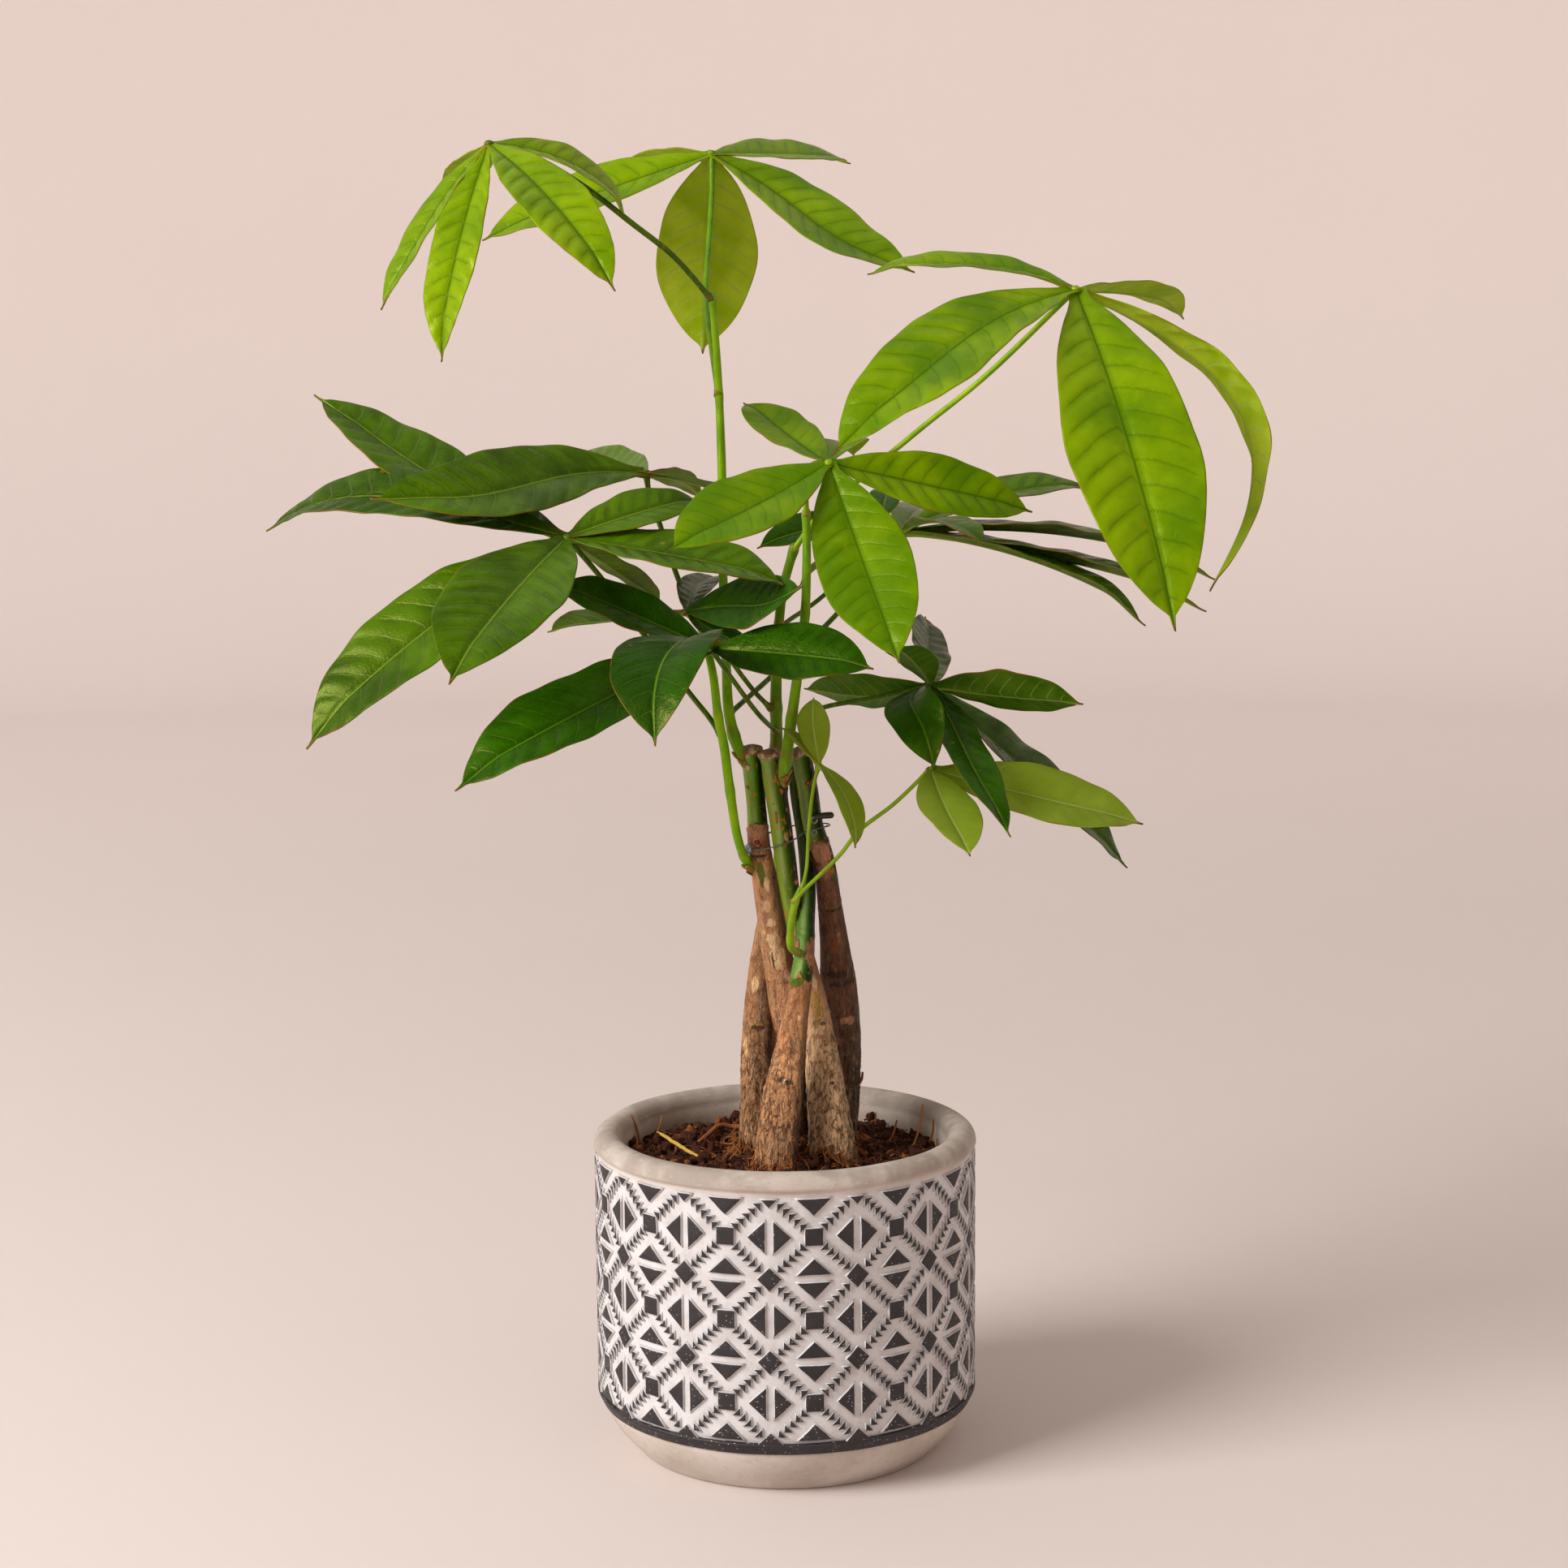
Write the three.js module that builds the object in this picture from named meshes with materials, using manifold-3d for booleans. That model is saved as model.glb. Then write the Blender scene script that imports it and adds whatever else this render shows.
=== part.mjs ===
// Potted money tree: five tied trunks with green shoots and palmate leaves, in soil, in a round
// cement pot with a raised geometric pattern. Millimetres, +Z up, +X to the right of the front view,
// +Y away from it, origin at the centre of the pot's base.
import * as THREE from "three";
import { mergeVertices } from "three/addons/utils/BufferGeometryUtils.js";
import Module from "manifold-3d";

const wasm = await Module();
wasm.setup();

// Driving dimensions
const GAP = 0.3; // left between pieces that touch
const POT_HEIGHT = 127;
const POT_RADIUS = 75; // over the raised pattern
const FOOT_RADIUS = 60;
const RELIEF = 1.2; // how far the pattern stands out of the wall
const RIM_RADIUS = 69.5; // to the middle of the rounded rim
const RIM_HALF = 5.8; // half the rim's thickness
const RIM_BOTTOM = 117; // top edge of the pattern
const BORE_RADIUS = 63;
const FLOOR = 11; // thickness of the pot's floor
const SOIL_TOP = 115;

const COLUMNS = 14; // columns of diamonds round the pot
const COLUMN_TURN = -4.7; // turn of the first column from the front, degrees
const PATTERN_BOTTOM = 39.3; // height of the lowest row of squares
const PATTERN_PITCH = 32; // height of one repeat
const FACET_TURN = Math.PI / (2 * COLUMNS); // half of one flat facet of the wall, radians
const RIM_FACETS = 42; // round the foot and the rim
const FIRST_FACET = THREE.MathUtils.degToRad(COLUMN_TURN) + FACET_TURN;
const BAND_BOTTOM = 19; // raised plain band under the pattern
const BAND_HEIGHT = 4;

const BLADE = 0.7; // thickness of a leaflet
const FACET = 19; // length of a leaflet's facets
const FOLD = 0.2; // rise of a leaflet's edge over its midrib, as a share of its half width
const HUB_RADIUS = 2.5; // knob where a leaf's leaflets meet
const PETIOLE_RADIUS = 1.2;
const WIRE_RADIUS = 0.6; // loop that ties the trunks
const CLIP = [16.2, -2.9, 251.5]; // middle of the dark tab on the loop

// The loop's way round the trunks, [x, y, z], closed.
const TIE = [
  [-8.5, -10, 238.5], [-3.5, -13.5, 240], [1, -15.2, 241.5], [5, -12.5, 243], [9, -5, 244.5],
  [14, -2.6, 245.5], [18.3, 1, 246], [17.3, 6, 246], [9, 11, 245], [1, 16, 243], [-4.5, 14, 241.5],
  [-9, 5, 240], [-13.6, -1, 239], [-13.4, -7, 238.5],
];

// Centre lines, [x, y, z], with the radius at each point as the fourth number.
const TRUNKS = {
  trunk_front: [
    [-3, -26, 88, 5], [-2, -26, 106, 7.5], [-2, -26, 122, 7.8], [1, -24, 146, 7],
    [4, -21, 164, 5.3], [6, -19, 180, 4.8], [8, -15, 197, 3.9], [9, -9, 210, 3.3],
    [9, -3, 222, 3], [7, 4, 238, 2.9], [4, 9, 258, 2.9], [3, 10, 272, 2.8],
  ],
  trunk_middle: [
    [20, -13, 88, 5], [19, -12, 106, 7.6], [19, -11, 124, 8.2], [17, -8, 144, 6.8],
    [15, -5, 163, 5], [13, -4, 176, 4.2], [10, -4, 189, 3.8], [6, -5, 204, 3.8],
    [3, -8, 220, 3.8], [1, -10, 236, 4.1], [-1, -11, 252, 4.2], [-3, -12, 266, 4.3],
    [-4, -12, 278, 4.4],
  ],
  trunk_left: [
    [2, 19, 88, 4.5], [1, 18, 106, 6.5], [1, 16, 124, 6.6], [0, 13, 146, 6.2],
    [0, 8, 168, 6], [-1, 4, 184, 5.8], [-3, 1, 198, 5.7], [-5, -2, 212, 5.3],
    [-7, -4, 226, 4.8], [-9, -5, 240, 4.2], [-10, -6, 256, 3.7], [-12, -8, 279, 4.1],
  ],
  trunk_right: [
    [20, 13, 88, 4.8], [21, 13, 106, 6.8], [22, 12, 124, 6.8], [23, 12, 145, 7.1],
    [23, 11, 165, 7], [22, 10, 182, 6.6], [20, 8, 200, 5.5], [18, 5, 217, 4.6],
    [16, 3, 232, 4.2], [12, 2, 246, 4], [10, 2, 260, 4], [7, 2, 277, 3.9],
  ],
  trunk_rear: [
    [-12, -3, 88, 4.5], [-12, -2, 106, 6.8], [-11, -1, 124, 6.9], [-11, 1, 142, 6.2],
    [-11, 4, 160, 5.6], [-10, 8, 178, 5], [-8, 10, 196, 4.2], [-5, 11, 212, 3.6],
    [-1, 12, 228, 3.1], [0, 12, 244, 3], [-1, 11, 262, 2.8],
  ],
};
const SHOOTS = {
  shoot_tall: [
    [-13, -8, 271, 1.8], [-17, -10, 279, 2.3], [-20, -9, 291, 2.1], [-21, -5, 310, 1.8],
    [-22, -2, 350, 1.7], [-22, -1, 384, 1.7], [-23, 0, 418, 1.5], [-25, 0, 451, 1.3],
  ],
  shoot_left: [
    [-10, -5, 229, 1.2], [-14, -9, 234, 1.6], [-17, -13, 243, 1.7], [-20, -15, 263, 1.8],
    [-22, -17, 280, 1.8], [-24, -18, 291, 1.7], [-26, -17, 308, 1.6], [-31, -3, 326, 1.4],
  ],
  shoot_middle: [
    [-1, 11, 256, 2], [-2, 8, 265, 2.2], [-2, 4, 274, 2.5], [-2, 2, 285, 2.4], [-2, 1, 299, 2.2],
    [-1, 0, 320, 1.9], [1, 0, 338, 1.8], [6, -2, 356, 1.7],
  ],
  shoot_right: [
    [0, -13, 264, 1.9], [1, -17, 271, 2.4], [3, -18, 284, 2.2], [6, -17, 305, 1.9],
    [9, -15, 326, 1.8], [10, -13, 347, 1.7], [10, -14, 370, 1.5],
  ],
  sprout_low: [
    [6, -17, 199, 1.1], [3, -24, 203, 1.4], [3, -27, 212, 1.4], [5, -28, 222, 1.2],
    [7, -28, 227, 1],
  ],
};

// Each leaf: its hub, the way of its stalk from the stem, and its leaflets as
// [direction round the hub, rise, length, width, bow as a share of the length, roll].
// Direction 0 is right, 90 away from the front view; angles are in degrees.
const LEAVES = {
  leaf_top_left: {
    hub: [-105, -35, 504],
    stalk: [[-25, 0, 448], [-39, -6, 464], [-54, -14, 476], [-71, -24, 489], [-88, -32, 499]],
    leaflets: [
      [-159, -54, 73, 19, 0.04, -13], [106, -10, 81, 18, 0.0, -3], [-107, -56, 93, 21, 0.04, 7],
      [-53, -33, 97, 26, 0.06, 21], [21, -25, 60, 22, 0.13, 30],
    ],
  },
  leaf_top_back: {
    hub: [-26, 70, 507],
    stalk: [[-23, -1, 412], [-26, 12, 433], [-28, 28, 450], [-27, 46, 471], [-26, 62, 491]],
    leaflets: [
      [-175, -20, 101, 29, 0.01, -36], [132, -7, 64, 16, 0.05, 28], [99, -64, 86, 41, 0.06, 10],
      [-16, -31, 99, 33, -0.0, 27], [42, 0, 79, 26, 0.02, 22],
    ],
  },
  leaf_top_right: {
    hub: [109, -38, 450],
    stalk: [[5, -2, 353], [16, -6, 368], [31, -12, 381], [55, -20, 401], [77, -28, 419]],
    leaflets: [
      [168, 7, 78, 20, 0.07, -20], [-144, -26, 125, 41, 0.06, -19], [-72, -53, 145, 48, 0.07, 12],
      [-32, -62, 125, 26, 0.31, -49], [58, -6, 93, 22, 0.05, -11],
    ],
  },
  leaf_front: {
    hub: [18, -55, 388],
    stalk: [[10, -14, 367], [10, -24, 378], [12, -42, 387]],
    leaflets: [
      [121, 21, 63, 23, -0.02, -9], [-144, -21, 76, 31, -0.02, -30],
      [-71, -43, 93, 34, -0.03, 18], [9, -15, 79, 29, 0.01, 43], [78, 3, 50, 20, 0.1, 0],
    ],
  },
  leaf_left: {
    hub: [-80, -25, 360],
    stalk: [[-23, -17, 284], [-28, -14, 291], [-33, -12, 297], [-50, -10, 319], [-69, -18, 346]],
    leaflets: [
      [143, 22, 142, 34, -0.04, -16], [157, 1, 136, 30, 0.12, -32],
      [-157, -36, 127, 44, 0.05, -27], [-111, -24, 103, 46, 0.03, -7],
      [-13, -11, 86, 35, 0.03, 19], [31, 14, 59, 25, 0.01, 20], [55, -26, 74, 18, 0.0, 1],
    ],
  },
  leaf_left_back: {
    hub: [-52, 25, 382],
    stalk: [[-30, -5, 324], [-39, 12, 340], [-47, 20, 363], [-51, 24, 375]],
    leaflets: [
      [-147, -2, 122, 42, 0.03, -34], [167, 0, 92, 28, 0.06, 0], [111, 6, 86, 22, -0.04, -18],
      [72, -11, 63, 14, 0.06, -22], [20, -18, 60, 22, 0.04, 0],
    ],
  },
  leaf_low_left: {
    hub: [-26, -40, 319],
    stalk: [[-2, 0, 283], [-9, -16, 292], [-18, -28, 306]],
    leaflets: [
      [172, 23, 66, 28, 0.01, -25], [-151, -22, 113, 40, 0.02, -23], [-104, -18, 82, 39, 0.21, 6],
      [-24, -3, 65, 29, 0.02, 41],
    ],
  },
  leaf_centre: {
    hub: [-36, -15, 331],
    stalk: [[-4, 0, 292], [-10, -6, 299], [-15, -10, 306], [-25, -13, 320]],
    leaflets: [
      [-36, 12, 55, 26, -0.06, 45], [-30, -25, 33, 13, -0.02, 13], [67, 10, 62, 16, 0.02, 0],
      [143, -7, 70, 23, -0.0, 16],
    ],
  },
  leaf_right: {
    hub: [58, 5, 300],
    stalk: [[4, -18, 290], [10, -10, 291], [18, -2, 293], [31, 0, 295], [43, 3, 297]],
    leaflets: [
      [88, 17, 75, 20, -0.01, 38], [-114, 24, 48, 20, 0.06, 0], [158, -2, 52, 25, -0.09, 39],
      [-91, -35, 48, 23, 0.23, 28], [-20, -4, 61, 29, -0.02, -39], [-69, -32, 88, 19, 0.03, -6],
      [9, -42, 109, 33, 0.0, 26],
    ],
  },
  leaf_low_small: {
    hub: [14, -30, 274],
    stalk: [[7, -28, 225], [9, -29, 234], [10, -30, 250], [12, -30, 266]],
    leaflets: [
      [98, 66, 27, 13, 0.05, 0], [-47, -55, 36, 13, 0.14, -2], [160, 45, 20, 12, 0, 0],
    ],
  },
  leaf_low_right: {
    hub: [56, -30, 272],
    stalk: [[4, -28, 221], [8, -30, 226], [14, -31, 232], [22, -31, 240], [29, -32, 249], [42, -32, 259]],
    leaflets: [
      [-2, -14, 83, 31, -0.01, 35], [-75, -27, 54, 24, 0.01, -4],
    ],
  },
  leaf_right_back: {
    hub: [50, 75, 356],
    stalk: [[-20, -8, 291], [-6, 14, 301], [7, 30, 311], [23, 47, 325], [37, 62, 340]],
    leaflets: [
      [7, 13, 81, 28, 0.06, 0], [2, -8, 132, 32, 0.06, 0], [-17, -18, 108, 30, 0.06, 0],
      [-7, -13, 128, 28, 0.03, 0], [-59, -2, 58, 20, 0.1, 0], [167, -26, 50, 22, 0.06, 0],
      [75, 6, 62, 24, 0.06, 0],
    ],
  },
  leaf_centre_back: {
    hub: [40, 40, 362],
    stalk: [[-1, 0, 323], [4, 8, 326], [11, 14, 330], [18, 20, 335], [27, 28, 343]],
    leaflets: [
      [-157, -9, 54, 20, 0.05, -30], [-125, -38, 45, 16, 0.05, -15], [80, 25, 30, 14, 0.05, 0],
    ],
  },
};
const TONES = {
  leaf_top_left: 0x8fb81e, leaf_top_back: 0x86a820, leaf_top_right: 0x84b010, leaf_front: 0x6fa80c,
  leaf_left: 0x3f7a18, leaf_left_back: 0x3a6a18, leaf_low_left: 0x1f6208, leaf_centre: 0x1c5a08,
  leaf_right: 0x2c5c10, leaf_low_right: 0x6c9a3c, leaf_low_small: 0x7c9a50,
  leaf_right_back: 0x4a6a20, leaf_centre_back: 0x2a5a10,
};

// A closed geometry as a solid that can be joined and cut.
function solidOf(geometry) {
  const bare = geometry.index ? geometry.toNonIndexed() : geometry.clone();
  bare.deleteAttribute("normal");
  bare.deleteAttribute("uv");
  const merged = mergeVertices(bare, 1e-4);
  return new wasm.Manifold(
    new wasm.Mesh({
      numProp: 3,
      vertProperties: merged.attributes.position.array,
      triVerts: new Uint32Array(merged.index.array),
    }),
  );
}

function geometryOf(solid) {
  const mesh = solid.getMesh();
  const geometry = new THREE.BufferGeometry();
  geometry.setAttribute("position", new THREE.BufferAttribute(mesh.vertProperties, 3));
  geometry.setIndex(new THREE.BufferAttribute(mesh.triVerts, 1));
  geometry.computeVertexNormals();
  return geometry;
}

// The largest body of a solid, without the scraps that a cut leaves.
function largestBody(solid) {
  return solid.decompose().reduce((best, body) => (body.volume() > best.volume() ? body : best));
}

function joined(solids) {
  return solids.reduce((all, solid) => all.add(solid));
}

function cutBy(solid, tools) {
  return largestBody(tools.reduce((left, tool) => left.subtract(tool), solid));
}

// A tapered round stem along a smooth curve through points [x, y, z, radius].
function stemGeometry(points, sides, steps, extra = 0) {
  const curve = new THREE.CatmullRomCurve3(points.map((p) => new THREE.Vector3(p[0], p[1], p[2])));
  const frames = curve.computeFrenetFrames(steps);
  const geometry = new THREE.CylinderGeometry(1, 1, 1, sides, steps);
  const position = geometry.attributes.position;
  for (let i = 0; i < position.count; i++) {
    const step = Math.round((position.getY(i) + 0.5) * steps);
    const t = curve.getUtoTmapping(step / steps);
    const place = t * (points.length - 1);
    const before = Math.min(Math.floor(place), points.length - 2);
    const radius = THREE.MathUtils.lerp(points[before][3], points[before + 1][3], place - before);
    const at = curve.getPoint(t);
    at.addScaledVector(frames.normals[step], position.getX(i) * (radius + extra));
    at.addScaledVector(frames.binormals[step], -position.getZ(i) * (radius + extra));
    position.setXYZ(i, at.x, at.y, at.z);
  }
  return geometry;
}

// Share of a leaflet's full width at a share s of its length: wedge-shaped base, pointed tip.
function leafletWidth(s) {
  const widest = 0.55;
  const base = Math.pow(s / widest, 1.1);
  const tip = Math.pow((1 - s) / (1 - widest), 0.9);
  return base * tip;
}

// A leaflet: a thin blade on a bowed midrib, its two halves folded up a little. Both faces are
// split into the same triangles.
function leafletGeometry(hub, [turn, rise, length, width, bow, roll]) {
  const azimuth = THREE.MathUtils.degToRad(turn);
  const climb = THREE.MathUtils.degToRad(rise);
  const along = new THREE.Vector3(
    Math.cos(climb) * Math.cos(azimuth), Math.cos(climb) * Math.sin(azimuth), Math.sin(climb),
  );
  const across = new THREE.Vector3().crossVectors(along, new THREE.Vector3(0, 0, 1)).normalize();
  across.applyAxisAngle(along, THREE.MathUtils.degToRad(roll));
  const up = new THREE.Vector3().crossVectors(across, along);
  const rows = THREE.MathUtils.clamp(Math.round(length / FACET), 4, 8);
  const grid = new THREE.PlaneGeometry(1, 1, rows, 2);
  const flat = grid.attributes.position;
  const count = flat.count;
  const vertices = new Float32Array(count * 6);
  for (let i = 0; i < count; i++) {
    const s = flat.getX(i) + 0.5;
    const half = Math.max(leafletWidth(s) * width * 0.5, s < 0.5 ? 1 : 0.4);
    const side = flat.getY(i) * 2 * half;
    const tangent = along.clone().addScaledVector(up, 4 * bow * (1 - 2 * s));
    const normal = new THREE.Vector3().crossVectors(across, tangent).normalize();
    const at = new THREE.Vector3(...hub);
    at.addScaledVector(along, length * s);
    at.addScaledVector(up, length * bow * 4 * s * (1 - s));
    at.addScaledVector(across, side);
    at.addScaledVector(normal, FOLD * Math.abs(side));
    at.clone().addScaledVector(normal, BLADE / 2).toArray(vertices, i * 3);
    at.clone().addScaledVector(normal, -BLADE / 2).toArray(vertices, (count + i) * 3);
  }
  const top = Array.from(grid.index.array);
  const faces = [];
  for (let i = 0; i < top.length; i += 3) {
    const [a, b, c] = top.slice(i, i + 3);
    faces.push(a, c, b, a + count, b + count, c + count);
  }
  const columns = rows + 1;
  const rim = [];
  for (let i = 0; i < columns; i++) rim.push(i);
  rim.push(2 * columns - 1);
  for (let i = columns - 1; i >= 0; i--) rim.push(2 * columns + i);
  rim.push(columns);
  rim.forEach((a, i) => {
    const b = rim[(i + 1) % rim.length];
    faces.push(b, a, a + count, b, a + count, b + count);
  });
  const geometry = new THREE.BufferGeometry();
  geometry.setAttribute("position", new THREE.BufferAttribute(vertices, 3));
  geometry.setIndex(faces);
  return geometry;
}

function stalkSolid({ hub, stalk }, extra = 0) {
  const way = [...stalk, hub].map((p) => [...p, PETIOLE_RADIUS]);
  return solidOf(stemGeometry(way, 5, way.length + 2, extra));
}

// A palmate leaf: its stalk, the knob at its hub and its leaflets, grown together.
function leafSolid(leaf) {
  const { hub, leaflets } = leaf;
  const knob = new THREE.IcosahedronGeometry(HUB_RADIUS).translate(...hub);
  const blades = leaflets.map((leaflet) => solidOf(leafletGeometry(hub, leaflet)));
  return joined([stalkSolid(leaf), solidOf(knob), ...blades]);
}

// A flat outline [[x, height], ...] raised on the pot's wall at an angle round it and a height.
function raisedSolid(outline, angle, height) {
  const shape = new THREE.Shape(outline.map(([x, y]) => new THREE.Vector2(x, y)));
  const depth = RELIEF + 1;
  const geometry = new THREE.ExtrudeGeometry(shape, { depth, bevelEnabled: false });
  geometry.translate(0, height, POT_RADIUS - depth);
  geometry.rotateX(Math.PI / 2);
  geometry.rotateZ(angle);
  return solidOf(geometry);
}

// The pot's pattern: squares and split diamonds in one set of columns, split diamonds and small
// diamonds in the set between them.
function patternSolids() {
  const square = [[-3.4, -3.3], [3.4, -3.3], [3.4, 3.3], [-3.4, 3.3]];
  const diamond = [[0, -4.6], [4.6, 0], [0, 4.6], [-4.6, 0]];
  const above = [[-6.5, 1.5], [6.5, 1.5], [0, 7.7]];
  const below = [[-6.5, -1.5], [0, -7.7], [6.5, -1.5]];
  const left = [[-1.6, -6.1], [-1.6, 6.1], [-8.2, 0]];
  const right = [[1.6, -6.1], [8.2, 0], [1.6, 6.1]];
  const peak = [[-6, -1.6], [6, -1.6], [0, 4.6]];
  const step = (2 * Math.PI) / COLUMNS;
  const first = THREE.MathUtils.degToRad(COLUMN_TURN);
  const solids = [];
  const add = (outline, turn, row) => {
    solids.push(raisedSolid(outline, turn, PATTERN_BOTTOM + row * PATTERN_PITCH));
  };
  for (let i = 0; i < COLUMNS; i++) {
    const diamonds = first + i * step;
    const squares = diamonds + step / 2;
    for (const row of [0, 1, 2]) {
      add(square, squares, row);
      add(left, diamonds, row);
      add(right, diamonds, row);
    }
    for (const row of [0.5, 1.5]) {
      add(above, squares, row);
      add(below, squares, row);
      add(diamond, diamonds, row);
    }
    add(above, squares, -0.5);
    add(below, squares, 2.5);
    add(peak, diamonds, -0.5);
  }
  return solids;
}

function turned(profile, segments) {
  const points = profile.map(([r, z]) => new THREE.Vector2(r, z));
  return new THREE.LatheGeometry(points, segments, FIRST_FACET).rotateX(Math.PI / 2);
}

// The inside of the pot, less a gap all round, from the middle of the floor up the wall.
function boreProfile(gap) {
  const floor = FLOOR + gap;
  const r = BORE_RADIUS - gap;
  return [[0, floor], [r - 9, floor], [r - 4, 22], [r, 108]];
}

// The foot: from the middle of its underside out round its curve and over the plain band.
function footProfile() {
  const band = BAND_BOTTOM + BAND_HEIGHT;
  return [
    [0, 0], [FOOT_RADIUS - 1, 0], [FOOT_RADIUS, 1], [FOOT_RADIUS + 6, 7],
    [FOOT_RADIUS + 10.5, 13.5], [POT_RADIUS - 2.4, BAND_BOTTOM],
    [POT_RADIUS - 0.4, band], [POT_RADIUS - 1.2, band + 0.6], [0, band + 0.6],
  ];
}

// The rounded rim, as a closed ring.
function rimProfile() {
  const height = POT_HEIGHT - RIM_HALF;
  const profile = [[BORE_RADIUS, RIM_BOTTOM - 2], [RIM_RADIUS + RIM_HALF, RIM_BOTTOM]];
  for (let degrees = 0; degrees <= 180; degrees += 30) {
    const angle = THREE.MathUtils.degToRad(degrees);
    const r = RIM_RADIUS + RIM_HALF * Math.cos(angle);
    profile.push([r, height + RIM_HALF * Math.sin(angle)]);
  }
  profile.push([BORE_RADIUS, RIM_BOTTOM - 2]);
  return profile;
}

// The wall has one flat facet under each column of the pattern.
function potSolid() {
  const wall = (POT_RADIUS - RELIEF) / Math.cos(FACET_TURN);
  const low = BAND_BOTTOM + 1;
  const outer = [[0, low], [wall - 3, low], [wall, low + 5], [wall, RIM_BOTTOM], [0, RIM_BOTTOM]];
  const bore = [...boreProfile(0), [BORE_RADIUS, POT_HEIGHT + 1], [0, POT_HEIGHT + 1]];
  const parts = [turned(outer, 2 * COLUMNS), turned(footProfile(), RIM_FACETS)];
  const cup = joined([...parts.map(solidOf), ...patternSolids()]);
  const rim = solidOf(turned(rimProfile(), RIM_FACETS));
  return cup.subtract(solidOf(turned(bore, 2 * COLUMNS))).add(rim);
}

// Height of the soil's lumpy surface at a place.
function soilHeight(x, y) {
  const lumps = Math.sin(x * 0.21 + 1.3) * Math.cos(y * 0.17) + Math.sin(x * 0.43 - y * 0.37);
  const mound = 3 * Math.exp(-(x * x + y * y) / 900);
  return SOIL_TOP + lumps * 0.9 + mound;
}

function soilSolid(holes) {
  const r = BORE_RADIUS - GAP;
  const profile = [...boreProfile(GAP), [r, SOIL_TOP], [r * 0.7, SOIL_TOP], [r * 0.4, SOIL_TOP]];
  profile.push([0, SOIL_TOP]);
  const geometry = turned(profile, 2 * COLUMNS);
  const position = geometry.attributes.position;
  for (let i = 0; i < position.count; i++) {
    if (position.getZ(i) === SOIL_TOP) {
      position.setZ(i, soilHeight(position.getX(i), position.getY(i)));
    }
  }
  return cutBy(solidOf(geometry), holes);
}

// The thin loop that ties the trunks: a ring laid along a closed curve round them.
function loopSolid() {
  const curve = new THREE.CatmullRomCurve3(TIE.map((p) => new THREE.Vector3(...p)), true);
  const upward = new THREE.Vector3(0, 0, 1);
  const geometry = new THREE.TorusGeometry(10, WIRE_RADIUS, 4, 30);
  const position = geometry.attributes.position;
  for (let i = 0; i < position.count; i++) {
    const x = position.getX(i);
    const y = position.getY(i);
    const turn = (Math.atan2(y, x) / (2 * Math.PI) + 1) % 1;
    const outward = curve.getTangent(turn).cross(upward).normalize();
    const at = curve.getPoint(turn).addScaledVector(outward, Math.hypot(x, y) - 10);
    position.setXYZ(i, at.x, at.y, at.z + position.getZ(i));
  }
  return solidOf(geometry);
}

function ringSolid(x, y, z) {
  const geometry = new THREE.TorusGeometry(1.3, 0.5, 4, 8).rotateX(Math.PI / 2);
  return solidOf(geometry.translate(x, y, z));
}

// The dark tab on the loop, with a small ring at its end.
function clipSolid() {
  const tab = new THREE.CapsuleGeometry(1.4, 5, 2, 8).rotateZ(Math.PI / 2);
  return solidOf(tab.translate(...CLIP)).add(ringSolid(CLIP[0] - 4, CLIP[1], CLIP[2] - 0.6));
}

const group = new THREE.Group();

function place(name, solid, color, roughness = 0.6) {
  const material = new THREE.MeshStandardMaterial({ color, roughness, metalness: 0 });
  const mesh = new THREE.Mesh(geometryOf(solid), material);
  mesh.name = name;
  group.add(mesh);
}

// Stems in the order in which each makes way for those before it, whole and grown by the gap.
const stems = [];

function placeStem(name, points, sides, steps, color) {
  const whole = solidOf(stemGeometry(points, sides, steps));
  const solid = cutBy(whole, stems);
  stems.push(solidOf(stemGeometry(points, sides, steps, GAP)));
  place(name, solid, color);
}

for (const [name, points] of Object.entries(TRUNKS)) placeStem(name, points, 9, 12, 0x8c6a50);
place("soil", soilSolid(stems), 0x2e1c12, 0.95);
place("pot", potSolid(), 0xd8d0c8, 0.85);
for (const [name, points] of Object.entries(SHOOTS)) placeStem(name, points, 6, 9, 0x4f8a1e);
place("tie_wire", cutBy(loopSolid(), stems), 0xb8b8b0, 0.3);
place("tie_clip", cutBy(clipSolid(), stems), 0x26262a, 0.4);
for (const [name, leaf] of Object.entries(LEAVES)) {
  place(name, cutBy(leafSolid(leaf), stems), TONES[name], 0.45);
  stems.push(stalkSolid(leaf, GAP));
}

export default group;
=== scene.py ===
# Looks of the potted money tree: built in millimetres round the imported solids, scaled to metres.
import math

import bpy
import numpy as np
from mathutils import Matrix, Vector


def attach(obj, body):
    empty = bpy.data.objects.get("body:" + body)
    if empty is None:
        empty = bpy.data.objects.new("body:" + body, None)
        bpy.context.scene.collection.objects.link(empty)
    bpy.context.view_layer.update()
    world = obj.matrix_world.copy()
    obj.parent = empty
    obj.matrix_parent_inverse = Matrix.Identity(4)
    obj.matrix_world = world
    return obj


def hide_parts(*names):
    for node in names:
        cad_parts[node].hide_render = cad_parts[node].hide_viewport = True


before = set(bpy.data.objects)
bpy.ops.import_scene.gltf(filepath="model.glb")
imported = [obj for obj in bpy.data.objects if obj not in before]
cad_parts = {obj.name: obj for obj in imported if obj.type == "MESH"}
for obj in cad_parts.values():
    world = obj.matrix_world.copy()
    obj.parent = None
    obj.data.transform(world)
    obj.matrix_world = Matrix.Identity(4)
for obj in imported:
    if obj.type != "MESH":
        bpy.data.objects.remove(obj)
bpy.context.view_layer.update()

MM = 0.001
TAU = 2 * math.pi

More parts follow.
